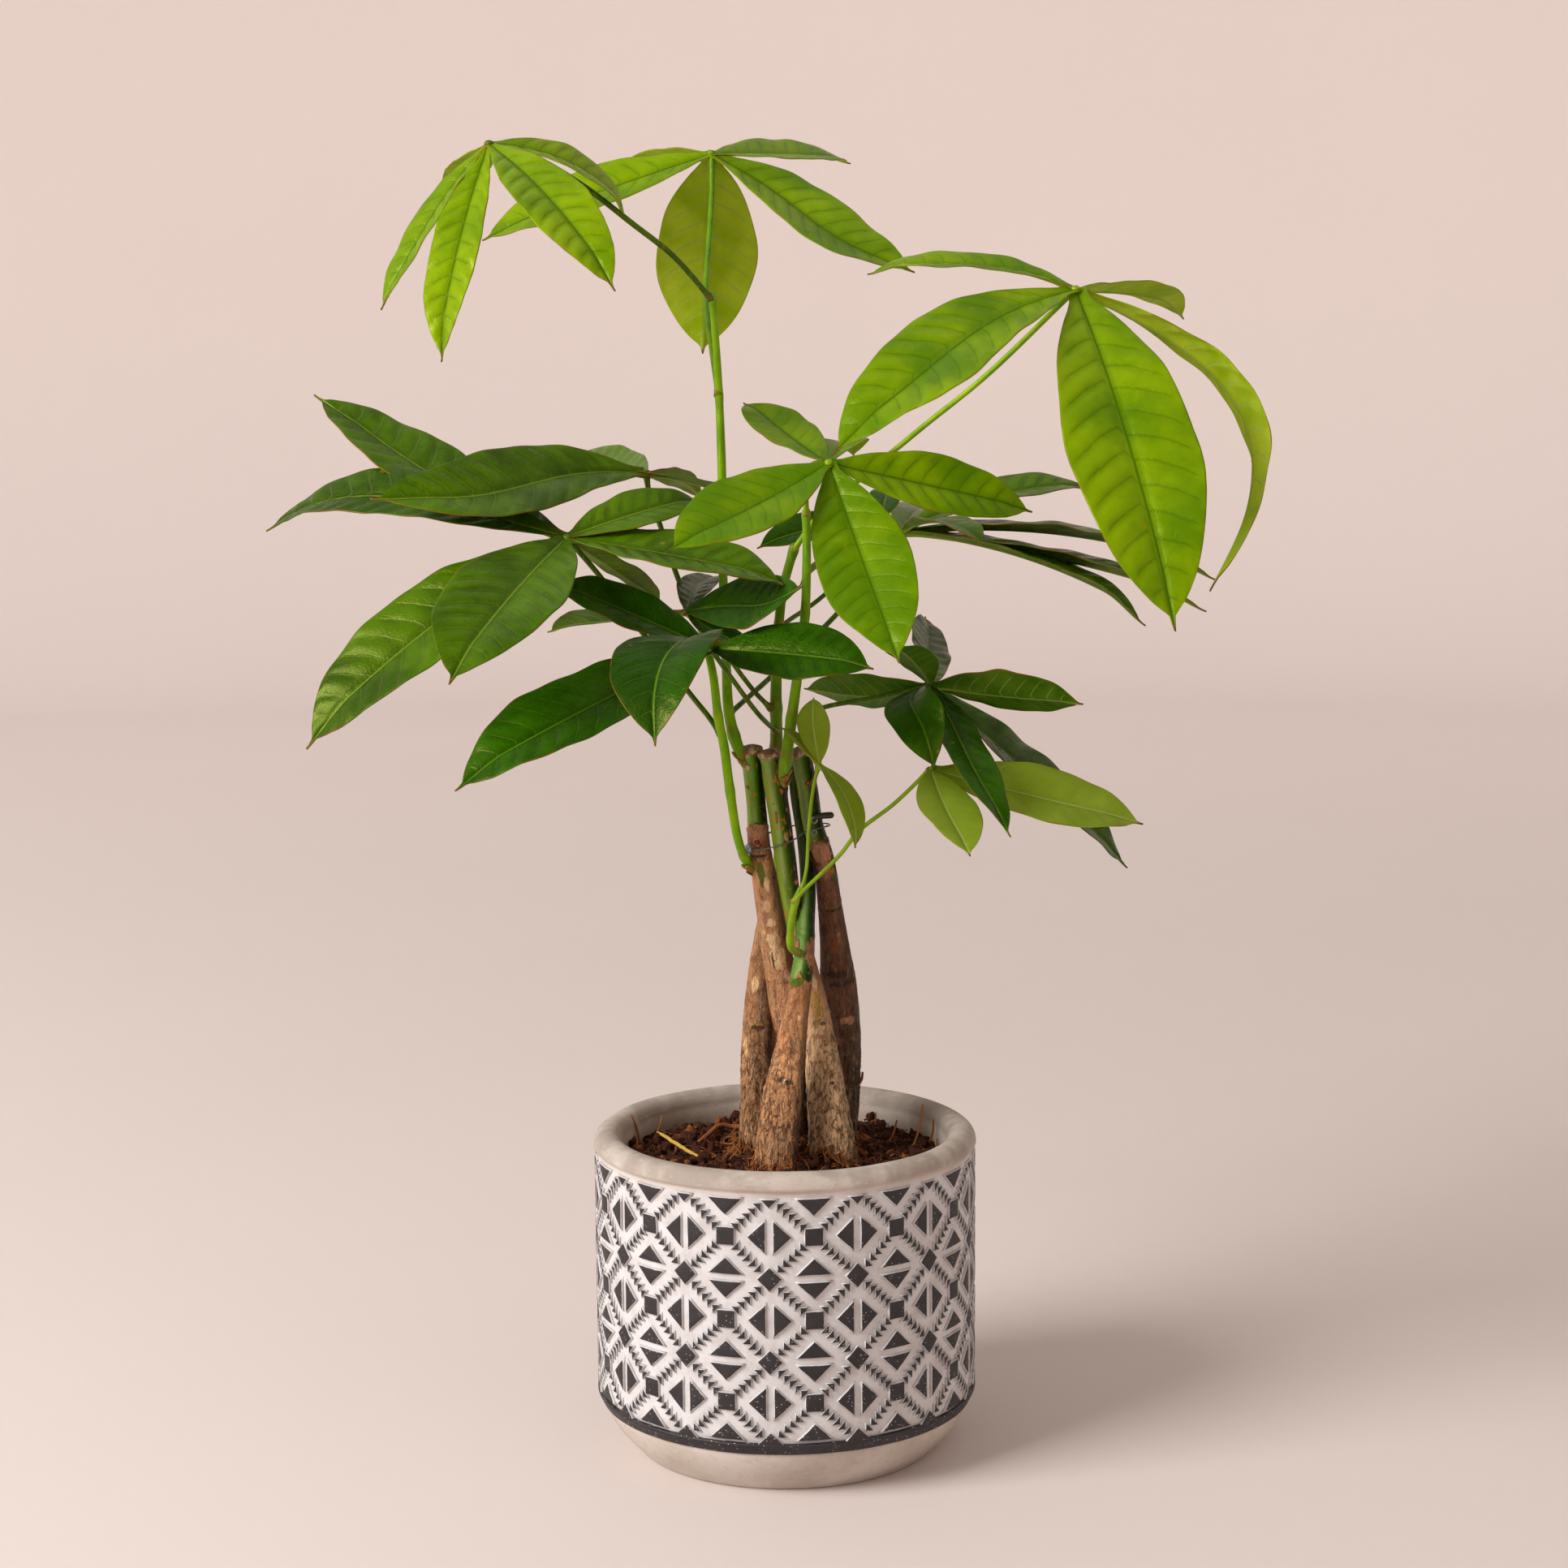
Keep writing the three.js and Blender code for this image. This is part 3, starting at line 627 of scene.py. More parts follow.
def bark_material():
    """bark: the painted colour. bark_a: greenness, roughness of the surface, depth of furrows."""
    g = Graph("bark")
    color = g.painted("bark")
    green, rough, old = g.field("bark_a")
    fibre = g.noise(430, 6.0, 0.68, stretch=(1, 1, 0.3))
    grain = g.noise(1500, 3.0, 0.65, stretch=(1, 1, 0.7))
    crack = abs(g.noise(560, 3.0, 0.5, stretch=(1, 1, 0.24)) - 0.5) + (grain - 0.5) * 0.06
    gap = crack.near(0.0, 0.06) * g.noise(300, 4.0, 0.6).band(0.36, 0.52) * old
    scurf = g.noise(560, 5.0, 0.72, stretch=(1, 1, 0.42)).band(0.54, 0.68)
    plate = scurf * (old * 0.75 + 0.25) * rough
    dark = color.to("#8A6C56", 1.0, "MULTIPLY")
    pale = color.to("#E4C292", 0.6)
    color = color.to(dark, fibre.band(0.52, 0.3) * rough * 0.85)
    color = color.to(pale, fibre.band(0.55, 0.75) * rough * 0.4).to(pale, plate * 0.85)
    color = color.to(color.to("#7A5840", 1.0, "MULTIPLY"), gap * 0.85)
    dots = g.cells(420, stretch=(1, 1, 1.6)).near(0.1, 0.17) * g.noise(150).band(0.5, 0.6)
    color = color.to(g.mix(green, "#5C3A24", "#A46226"), dots * 0.8)
    height = (fibre * 1.4 + grain) * rough + (plate - gap) * 0.9 + dots * 0.5
    # The shine's tint follows the painted colour, so painted shade on the green bark dims it too.
    wax = g.mix(green, (1.0, 0.88, 0.72), color.to((6.0, 6.0, 3.0), 1.0, "MULTIPLY"))
    return g.surface(color, green * -0.36 + 0.7, g.bump(height, 0.0011), **{"Specular Tint": wax})


def cement_material(name):
    """pot_a: whitewash, stain inside, rim."""
    g = Graph(name)
    wash, stain, lip = g.field("pot_a")
    bare = g.mix(g.noise(28, 5.0, 0.6).band(0.35, 0.68), "#C8BEB4", "#B4A89D")
    bare = bare.to("#A09284", g.noise(300, 4.0).band(0.52, 0.75) * 0.35)
    inner = g.mix(g.noise(22, 4.0).band(0.35, 0.65), "#968472", "#B0A49A")
    bare = bare.to(inner, stain * g.noise(40, 5.0).band(0.3, 0.62, 0.6, 1.0))
    bare = bare.to("#968A7F", lip * g.noise(60, 4.0).band(0.35, 0.6, 0.4, 1.0) * 0.9)
    streak = g.noise(900, 4.0, 0.6, stretch=(0.25, 0.25, 1))
    bare = bare.to("#D6CEC5", streak.band(0.55, 0.8) * 0.3)
    mark = g.noise(210, 5.0, 0.7).band(0.6, 0.68) * g.noise(14).band(0.55, 0.65)
    bare = bare.to("#8A8068", mark * 0.5)
    white = g.mix(g.noise(120, 5.0, 0.65).band(0.35, 0.7), "#CCC9C9", "#BBB6B4")
    white = white.to("#AAA29E", g.noise(700, 4.0, 0.7).band(0.58, 0.75) * 0.3)
    pore = g.cells(620).near(0.08, 0.15) * g.noise(80).band(0.5, 0.58) * (wash * -0.7 + 1.0)
    color = g.mix(wash, bare, white).to("#706254", pore * 0.6)
    bumps = g.bump(pore * -1.4 + g.noise(700, 5.0, 0.7), 0.00022, 0.6)
    shine = g.noise(200).band(0.3, 0.7, 0.8, 0.95)
    return g.surface(color, shine, bumps, **{"Specular IOR Level": 0.3})


def ink_material():
    """Black paint on the raised faces. ink_a: 1 at the edges, height."""
    g = Graph("ink")
    edge, height, _ = g.field("ink_a")
    white = "#D0C9C5"
    chipped = g.noise(260, 4.0, 0.65).band(0.56, 0.66) * (height * -0.75 + 1.0)
    ragged = g.noise(1300, 3.0, 0.7) * 0.7 + edge + chipped * 0.4
    color = g.mix(g.noise(130, 4.0).band(0.3, 0.7), "#181416", "#262123")
    patchy = height * -0.14 + g.noise(90)
    fleck = g.cells(640, stretch=(1, 1, 1.7)).near(0.1, 0.19) * patchy.band(0.4, 0.45)
    color = color.to(white, ragged.band(1.38, 1.5)).to(white, fleck * 0.85)
    color = color.to("#969292", g.noise(420, 5.0, 0.75).band(0.58, 0.8) * 0.22)
    bumps = g.noise(900, 4.0, 0.7)
    return g.surface(color, bumps.band(0.3, 0.7, 0.42, 0.62), g.bump(bumps, 0.00012, 0.5))


def soil_material():
    """soil_a: 0 dark peat to 1 orange-brown chip, straw."""
    g = Graph("soil")
    chip, straw, _ = g.field("soil_a")
    color = g.mix(g.noise(330, 5.0, 0.75).band(0.34, 0.66), "#160906", "#421E11")
    color = color.to("#7C4020", g.noise(1100).band(0.58, 0.72) * 0.7)
    color = color.to(g.mix(g.noise(500), "#B06836", "#6C381C"), chip)
    color = color.to(g.mix(g.noise(400), "#DEBA54", "#B48C3A"), straw)
    bumps = g.bump(g.noise(1500, 5.0, 0.75), 0.0007, 0.9)
    return g.surface(color, 0.9, bumps, **{"Specular IOR Level": 0.2})


def plain_material(name, first, second, mottle, grain, rough, bumps):
    """Two tones that run into each other: the wire, its knot, the tab and the small rings."""
    g = Graph(name)
    color = g.mix(g.noise(mottle).band(0.3, 0.7), first, second)
    shine = g.noise(grain).band(0.3, 0.7, *rough)
    return g.surface(color, shine, g.bump(g.noise(bumps), 0.0001, 0.3))


def floor_material():
    """A pale plaster colour, a little lighter far off than near the plant."""
    g = Graph("stage")
    away = g.node("ShaderNodeVectorMath", 1, {0: g.places}, operation="LENGTH")
    near = g.mix(g.noise(2.0, 2.0), "#D5C9C3", "#D1C5BF")
    far = g.mix(g.noise(2.0, 2.0), "#F1E6E1", "#EDE2DD")
    return g.surface(g.mix(away.band(0.4, 2.6), near, far), 0.9)


# ---- Pot


def turned(profile, segments, closed=False):
    """A solid turned round the Z axis; its profile runs (r, z) outwards and up."""
    r, z = np.array(profile, float).T[:, :, None]
    ends = () if closed else [[0, 0, z[0, 0]], [0, 0, z[-1, 0]]]
    return skin(spun(r, circle(segments), z), ends)


def pieces_of(edge, step):
    """How many pieces of about that length an edge is cut into."""
    return max(1, math.ceil(np.linalg.norm(edge) / step))


def densified(profile, step):
    """The profile with more points, at most a step apart."""
    p = np.array(profile, float)
    rows = [np.linspace(a, b, pieces_of(b - a, step), endpoint=False) for a, b in zip(p, p[1:])]
    return np.concatenate([*rows, p[-1:]])


def make_pot():
    """Foot, wall, rounded rim and inner wall down to the floor under the soil."""
    outer = [
        (3, 1.2), (40, 1.2), (56, 0.6), (58.6, 0), (59.6, 0.3), (60.4, 1.2), (62.4, 3.2), (65, 6),
        (68, 9.6), (70.2, 13), (71.8, 16.4), (72.4, 18.4), (72.2, 20), (72.6, 22), (73.4, 23.6),
        (WALL_RADIUS, 26), (WALL_RADIUS, 60), (WALL_RADIUS, 119.4), (74.1, 119.9), (74.6, 120.6),
    ]
    middle = np.array([RIM_RADIUS, POT_HEIGHT - RIM_HALF])
    rim = [middle + RIM_HALF * polar(a) for a in np.linspace(0, math.pi, 21)]
    inner = [(63.2, 119), (62.9, 116), (62.9, 108), (61, 60), (59, 22), (54, 11), (3, 11)]
    points, faces = turned(densified(outer + rim + inner, 2.2), POT_SIDES)
    r, z = np.hypot(points[:, 0], points[:, 1]), points[:, 2]
    inside = (r < RIM_RADIUS - 3) & (z > 20)
    upper = smooth(z, 119, 121.5)
    lumps = (cloud(points, 24, 3) * 0.16 + cloud(points, 5, 5, 2) * 0.07) * (0.5 + 0.9 * upper)
    scale = np.where(z < 1.3, 1, 1 + lumps / np.maximum(r, 20) * np.where(inside, -1, 1))
    points = points * stacked(scale, scale, 1)
    points[:, 2] += upper * cloud(points, 17, 9) * 0.18
    wash = smooth(z, 22.6, 23.6) * (1 - smooth(z, 118.9, 119.7)) * (r > 70)
    stain = inside * np.minimum(smooth(z, 124, 112) + 0.35, 1)
    lip = smooth(z, 119.4, 122.5) * (r > 60)
    piece = Piece("pot_body")
    piece.add(points, faces, pot_a=stacked(wash, stain, lip))
    piece.build([cement_material("cement")], "cement", "pot")


def inset(outline, by):
    """A convex outline drawn in by a distance on every side."""
    edges = np.roll(outline, -1, 0) - outline
    after = unit(stacked(edges[:, 1], -edges[:, 0]))
    before = np.roll(after, 1, 0)
    return outline - by * (before + after) / (1 + np.sum(before * after, 1))[:, None]


def raised_shape(outline, skirt, chamfer=0.1, step=2.2):
    """A convex outline raised from the wall, cut in strips so that it can be bent round.
    Its faces come as skirt, underside, chamfer and top."""
    outline = np.array(outline, float)
    x, y = outline.T
    if np.sum(x * np.roll(y, -1) - np.roll(x, -1) * y) < 0:
        outline = outline[::-1]
    top, base = POT_RADIUS, WALL_RADIUS - 0.15
    counts = [pieces_of(edge, step) for edge in np.roll(outline, -1, 0) - outline]
    bevel = (chamfer * 0.35, top - chamfer * 0.3)
    rings = []
    for by, level in ((-skirt, base), (0, top - chamfer), bevel, (chamfer, top)):
        corners = inset(outline, by)
        edges = zip(corners, np.roll(corners, -1, 0), counts)
        x, y = np.concatenate([np.linspace(a, b, n, endpoint=False) for a, b, n in edges]).T
        rings.append(stacked(x, y, level))
    centre = rings[-1].mean(0)
    rings.append((rings[-1] + centre) / 2)
    n = len(rings[0])
    points, (quads, under, cap) = skin(np.array(rings), [[*centre[:2], base], centre])
    edge = np.concatenate([np.repeat([1, 1, 1, 0.62, 0], n), [1, 0]])
    return points, [quads[:n], under, quads[n:], cap], edge


def make_pattern():
    """The black pattern that stands out of the wall, with its rows of small teeth."""
    square = [[-3.4, -3.3], [3.4, -3.3], [3.4, 3.3], [-3.4, 3.3]]
    diamond = [[0, -4.6], [4.6, 0], [0, 4.6], [-4.6, 0]]
    above = [[-6.5, 1.5], [6.5, 1.5], [0, 7.7]]
    below = [[-6.5, -1.5], [0, -7.7], [6.5, -1.5]]
    left = [[-1.6, -6.1], [-1.6, 6.1], [-8.2, 0]]
    right = [[1.6, -6.1], [8.2, 0], [1.6, 6.1]]
    peak = [[-5.4, -0.6], [5.4, -0.6], [0, 4.6]]
    cut = [[-3, -1.6], [0, -4.6], [3, -1.6]]
    pitch = TAU * POT_RADIUS / COLUMNS
    slope = unit(np.array([pitch, PATTERN_PITCH]))
    shapes = {}
    piece = Piece("pot_pattern")

    def add(outline, x, row, skirt=0.55):
        key = str(outline)
        if key not in shapes:
            shapes[key] = raised_shape(outline, skirt)
        points, faces, edge = shapes[key]
        flat = stacked(points[:, 0] + x, points[:, 1] + PATTERN_BOTTOM + row * PATTERN_PITCH, 0)
        side = flat[:, 0] + cloud(flat, 2.2, 11, 2) * 0.2
        up = flat[:, 1] + cloud(flat, 2.2, 12, 2) * 0.2
        worn = 0.1 * (1 + noise(flat, 30, 4)) * (points[:, 2] > WALL_RADIUS)
        bent = spun(points[:, 2] - worn, side / POT_RADIUS, up)
        painted = stacked(edge, smooth(up, 24, 90), 0)
        piece.add(bent, faces, [1, 1, 0, 0], ink_a=painted, pot_a=(1, 0, 0))

    for column in range(COLUMNS):
        diamonds = math.radians(COLUMN_TURN) * POT_RADIUS + column * pitch
        squares = diamonds + pitch / 2
        for row in (0, 1, 2):
            add(square, squares, row)
            add(left, diamonds, row)
            add(right, diamonds, row)
            for u in slope * [[-1, -1], [-1, 1], [1, -1], [1, 1]]:
                v = np.array([-u[1], u[0]]) * 2.1
                for foot in (u * (5.15 + 2.92 * n) for n in range(5)):
                    tooth = np.round([foot - v, foot + v, foot + u * 2.15], 3)
                    add(tooth.tolist(), squares, row, 0.3)
        for row in (0.5, 1.5):
            add(above, squares, row)
            add(below, squares, row)
            add(diamond, diamonds, row)
        add(above, squares, -0.5)
        add(below, squares, 2.5)
        add(peak, diamonds, -0.5, 0.1)
        add(cut, diamonds, 2.5)
    band = [
        (70.5, 19.1), (73, 18.8), (73.3, 18.9), (75, 22.4), (75, 23.1), (74.7, 23.4), (71.5, 23.4),
    ]
    points, faces = turned(densified(band, 0.7), POT_SIDES, closed=True)
    z = points[:, 2]
    edge = np.maximum(smooth(z, 22.7, 23.3), smooth(z, 19.3, 18.9)) * 0.75
    z += cloud(points, 7, 15, 2) * 0.12
    z += cloud(points, 2.4, 16, 2) * 0.22 * smooth(z, 22.8, 23.3)
    piece.add(points, faces, ink_a=stacked(edge, 0.1, 0), pot_a=(1, 0, 0))
    piece.build([ink_material(), cement_material("cement_relief")], "cement")


# ---- Soil

SOIL_MOUNDS = ((-14, 6, 5, 13), (6, -18, 2.2, 12), (22, 0, 2, 12))  # x, y, height, reach in mm
STRAND = (0.3, 0.2, 1)  # a direction that no strand on the soil follows


def soil_height(x, y):
    """Height of the soil, with low mounds where the trunks stand."""
    lumps = np.sin(x * 0.21 + 1.3) * np.cos(y * 0.17) + np.sin(x * 0.43 - y * 0.37)
    mound = 2.4 * bell(np.hypot(x, y), 30)
    for cx, cy, high, reach in SOIL_MOUNDS:
        mound = mound + high * bell(np.hypot(x - cx, y - cy), reach)
    flat = stacked(x, y, 0)
    rough = cloud(flat, 7, 21, 4) * 1.9 + np.abs(noise(flat, 1.9, 25)) * 1.3 - 0.5
    return SOIL_TOP + lumps * 0.8 + mound + rough


def on(x, y, up):
    """A place that far above the soil."""
    return [x, y, soil_height(x, y) + up]


def scattered(rng, reach):
    """A random place within reach of the pot's middle."""
    r = reach * math.sqrt(rng.uniform())
    a = rng.uniform(0, TAU)
    return r * math.sin(a), -r * math.cos(a)


def fibre(rng, x, y, length, lift, thick):
    """A thin bent strand that lies on the soil."""
    turns = rng.uniform(0, TAU) + np.cumsum(rng.normal(0, 0.7, 7))
    way = np.cumsum([(x, y), *stacked(np.cos(turns), np.sin(turns)) * length / 7], 0)
    way = way * np.minimum(1, 61 / np.maximum(np.hypot(*way.T), 1))[:, None]
    arch = np.sin(np.linspace(0, math.pi, 8)) * lift
    z = soil_height(*way.T) + arch + thick * 0.4 + rng.uniform(-0.3, 0.4)
    taper = thick * (0.35 + 0.65 * np.sin(np.linspace(0.3, math.pi - 0.3, 12)))
    return tube(curve(np.column_stack([way, z]), 12), taper, 5, STRAND)


def add_ground(piece):
    """The lumpy bed itself, down to the floor of the pot."""
    angle = circle(SOIL_SIDES)
    radii = np.linspace(0, 62.4, 105)[:0:-1, None]
    top = spun(radii, angle, 0)
    top[..., 2] = soil_height(top[..., 0], top[..., 1]) - 1.5 * smooth(radii, 57, 62.4)
    base = [spun(r, angle, z)[None] for r, z in ((53.5, 11.5), (58.5, 22))]
    points, faces = skin(np.concatenate([*base, top]), [[0, 0, 11.5], on(0, 0, 0)])
    piece.add(points, faces, soil_a=(0, 0, 0))


def add_litter(piece):
    """Lumps, flat chips and fibres scattered over the soil."""
    rng = np.random.default_rng(31)
    for i in range(2100):
        x, y = scattered(rng, 61.5)
        size = 0.45 + 2.0 * rng.uniform() ** 2.6
        lump, faces = blob(size * rng.uniform(0.5, 1.3, 3), i, 0.75, 5, 7)
        place = on(x, y, size * rng.uniform(-0.1, 0.5))
        chip = 0.8 * (rng.uniform() < 0.07) + 0.1 * rng.uniform()
        piece.add(lump + place, faces, soil_a=(chip, 0, rng.uniform()))
    for i in range(240):
        x, y = scattered(rng, 60)
        turn = rng.uniform(0, TAU)
        size = [rng.uniform(1.2, 3.4), rng.uniform(0.5, 1.1), rng.uniform(0.25, 0.5)]
        lump, faces = blob(size, 700 + i, 0.3, 5, 7)
        lay_down = Matrix.Rotation(rng.uniform(-0.6, 0.6), 3, "Y") @ Matrix.Rotation(-turn, 3, "Z")
        place = on(x, y, rng.uniform(0.2, 1.2))
        piece.add(lump @ np.array(lay_down) + place, faces, soil_a=(rng.uniform(0.35, 1), 0, 0))
    for _ in range(760):
        x, y = scattered(rng, 60)
        length, lift, thick = rng.uniform(2.5, 10), rng.uniform(0, 2.4), rng.uniform(0.08, 0.24)
        points, faces = fibre(rng, x, y, length, lift, thick)
        piece.add(points, faces, soil_a=(rng.uniform(0, 1) ** 1.5, 0, 0))


def lay(piece, way, radius, field, sides=8, count=30):
    """A root or straw along a way."""
    path = curve(way, count)
    path[:, 2] += cloud(path, 4, 77, 2) * radius * 0.5
    width = radius * (0.55 + 0.45 * np.sin(np.linspace(0.35, math.pi - 0.35, count)))
    points, faces = tube(path, width, sides, STRAND)
    piece.add(points, faces, soil_a=field)


def add_strands(piece):
    """Straw and roots that lie on the soil, and twigs that stand at the wall."""
    lay(piece, np.linspace(on(-51, 22, 3.5), on(-34, -10, 1.2), 4), 0.8, (0, 1, 0))
    lay(piece, [on(-45, 16, 1), on(-43, 5, 2.4), on(-44, -2, 1.0)], 0.45, (0.8, 0.1, 0))
    root = [on(-35, 6, 0.6), on(-30, 12, 3.2), on(-25, 18, 5.2), on(-19, 19, 4.6), on(-14, 12, 1.2)]
    lay(piece, root, 1.0, (0.85, 0.05, 0))
    lay(piece, [on(-23, -14, 0.4), on(-21, -4, 1.6), on(-19, 4, 1)], 0.5, (0.8, 0.05, 0))
    for x, y, dx, dy, up in (
        (-58, 18, -3.5, 4, 11), (-54, 24, 4.5, 8, 9), (-60, 6, 1, 3, 5), (50, 2, 5, 10, 17),
        (57, 14, 2.5, 3, 10), (40, 12, 5, 8, 8), (58, -2, 2, 2, 5),
    ):
        a, b = np.array([on(x, y, -1), on(x + dx, y + dy, up)])
        lay(piece, [a, (a + b) / 2 + [0.8, 0, 0], b], 0.45, (0.85, 0.05, 0))


def add_feet(piece, rng, foot):
    """Roots, fine fibres and lumps round the foot of a trunk."""
    for _ in range(9):
        a = rng.uniform(0, TAU)
        length = rng.uniform(7, 15)
        start = foot + 6.5 * polar(a)
        end = start + length * np.array([math.cos(a + rng.normal(0, 0.5)), math.sin(a)])
        mid = (start + end) / 2 + rng.normal(0, 1.5, 2)
        if np.hypot(*end) > 60:
            continue
        way = [on(*start, 3.0), on(*((start + mid) / 2), 1.6), on(*mid, 0.9), on(*end, -0.3)]
        lay(piece, way, rng.uniform(0.4, 0.85), (rng.uniform(0.4, 0.8), 0.05, 0), 7, 16)
    for _ in range(84):
        a = rng.uniform(0, TAU)
        climb = rng.uniform(0.3, 1) * 5.5
        way = []
        for n in range(4):
            r = 8.3 + 1.7 * n * rng.uniform(0.3, 1.4)
            a += rng.normal(0, 0.22)
            up = climb * (1 - n / 3) ** 1.5 + rng.uniform(-0.2, 1.0)
            way.append(on(*(foot + r * polar(a)), up))
        lay(piece, way, rng.uniform(0.14, 0.38), (rng.uniform(0.45, 1), 0.05, 0), 5, 12)
    for i in range(26):
        a = rng.uniform(0, TAU)
        size = rng.uniform(0.6, 1.5)
        lump, faces = blob(size * rng.uniform(0.6, 1.3, 3), 40 + i, 0.7, 5, 7)
        x, y = foot + rng.uniform(7.6, 9.6) * polar(a)
        place = on(x, y, rng.uniform(0.3, 2.2))
        piece.add(lump + place, faces, soil_a=(rng.uniform(0, 0.8), 0, 0))


def make_soil():
    piece = Piece("soil_bed")
    add_ground(piece)
    add_litter(piece)
    add_strands(piece)
    rng = np.random.default_rng(5)
    for spec in TRUNKS.values():
        add_feet(piece, rng, np.array(spec[2][:2]))
    piece.build([soil_material()], "soil", "soil")


# ---- Trunks and shoots

BARK = {
    "cream": "#E4C090", "pale": "#F0C694", "tan": "#BE8860", "dark": "#342016",
    "scar": "#702416", "brown": "#9E6848", "green": "#2C4C14", "pink": "#CE8A68",
    "orange": "#C46C2C", "yellow": "#BE9446",
}
# Of each trunk: brown of its upper stretch and of its old foot, green in shade and in the light,
# where it turns green and how far that edge wanders in mm, heights of its ring-shaped scars, and
# the side where the old feet have grown together: mm wider at z 148, which side, its shade.
BARKS = {
    "trunk_front": (
        "#A26A42", "#C48A5A", "#305416", "#567C2C", (190, 4), (150, 205), (0.4, 1, 0.4),
    ),
    # Its browns, the foot most of all, are partly painted light: lighter to make up for the front
    # trunk's shadow.
    "trunk_middle": (
        "#B88254", "#F6CC9C", "#3C5A04", "#748E16", (206, 5), (170,), (1.2, -1, 0),
    ),
    "trunk_left": (
        "#BA885C", "#CE9268", "#466C16", "#7C9638", (247, 1.5), (236, 184), (6, 1, 0.4),
    ),
    "trunk_right": (
        "#6C422A", "#4C2E1E", "#3C5A04", "#748E16", (239, 3.5), (213, 187, 183), (5.5, -1, 0.4),
    ),
    "trunk_rear": (
        "#AC7C52", "#B28054", "#3C5A04", "#748E16", (228, 4), (165, 190), (0, 1, 0.4),
    ),
}
# Patches on the bark: kind, height, degrees from the front, half height and half width in mm.
MARKS = {
    "trunk_left": [
        ("brown", 242, 0, 4.8, 9), ("tan", 245, 3, 4.0, 3.9), ("dark", 236, -5, 0.6, 4.3),
        ("dark", 241.5, -5, 2.1, 2.6), ("pink", 241.8, -5, 1.7, 2.2), ("scar", 241.6, -6, 1.1, 1.4),
        ("tan", 233, -60, 2.5, 1.9), ("green", 229, -8, 4.6, 1.3), ("pale", 225, 10, 2.5, 1.2),
        ("tan", 232, 42, 1.9, 1.9), ("pale", 217, -6, 2.2, 1.6), ("pale", 210, 0, 1.6, 1.7),
        ("cream", 206, -40, 1.2, 0.9), ("pale", 203, -1, 3.3, 3.0), ("pale", 196, 6, 4.6, 3.0),
        ("dark", 195, -14, 3.2, 0.5), ("orange", 263, -44, 0.7, 0.7), ("cream", 198, -65, 1.2, 0.8),
        ("orange", 234, 66, 3.0, 0.9), ("cream", 188, 30, 2.0, 1.4), ("cream", 271, -25, 1.3, 0.9),
    ],
    "trunk_middle": [
        ("dark", 277, 24, 3.4, 1.7), ("scar", 270, 40, 2.8, 2.3), ("orange", 252, -19, 2.2, 0.4),
        ("orange", 262, 30, 1.2, 0.5), ("yellow", 244, 20, 2.2, 0.9), ("pale", 152, 17, 1.5, 1.2),
        ("tan", 164, -6, 0.9, 2.2), ("yellow", 176, 0, 6, 2.4), ("dark", 169, 14, 0.9, 1.0),
        ("tan", 149, 14, 1.5, 1.0), ("dark", 146, 16, 0.5, 1.2), ("pale", 186, 16, 3, 1),
    ],
    "trunk_front": [
        ("brown", 198, 44, 5.6, 2.4), ("tan", 201, -60, 1.7, 1.3), ("green", 187.4, -16, 1.6, 2.6),
        ("dark", 150.8, -20, 1.0, 1.7), ("dark", 150.4, 10, 0.9, 1.6),
        ("cream", 150.6, -6, 0.7, 0.6), ("pale", 175, 18, 1.2, 0.7), ("tan", 197, 20, 1.2, 1.6),
    ],
    "trunk_right": [
        ("tan", 236, -6, 4.6, 4.2), ("brown", 229, 4, 3.4, 3.0), ("orange", 228, 33, 1.1, 1.3),
        ("orange", 263, 11, 0.7, 1.0), ("green", 226, 45, 1.4, 1.9), ("scar", 218, -56, 1.3, 1.3),
        ("dark", 213, 19, 0.6, 4.4), ("dark", 187, -2, 1.3, 5.5), ("dark", 183, 5, 1.1, 5.5),
        ("tan", 168, 22, 1.6, 3.0), ("brown", 160, -20, 2, 2), ("orange", 203, 24, 0.9, 0.8),
    ],
    "trunk_rear": [
        ("pale", 182, -16, 3.2, 1.6), ("dark", 165, 6, 0.8, 3.1), ("yellow", 166.4, 4, 0.8, 2.6),
        ("scar", 164.6, 10, 0.9, 1.2), ("pale", 158, -44, 3.4, 0.8),
    ],
}
BRAID_SHADE = 222  # mm: above it the front trunk runs inside the braid, dark and shaded


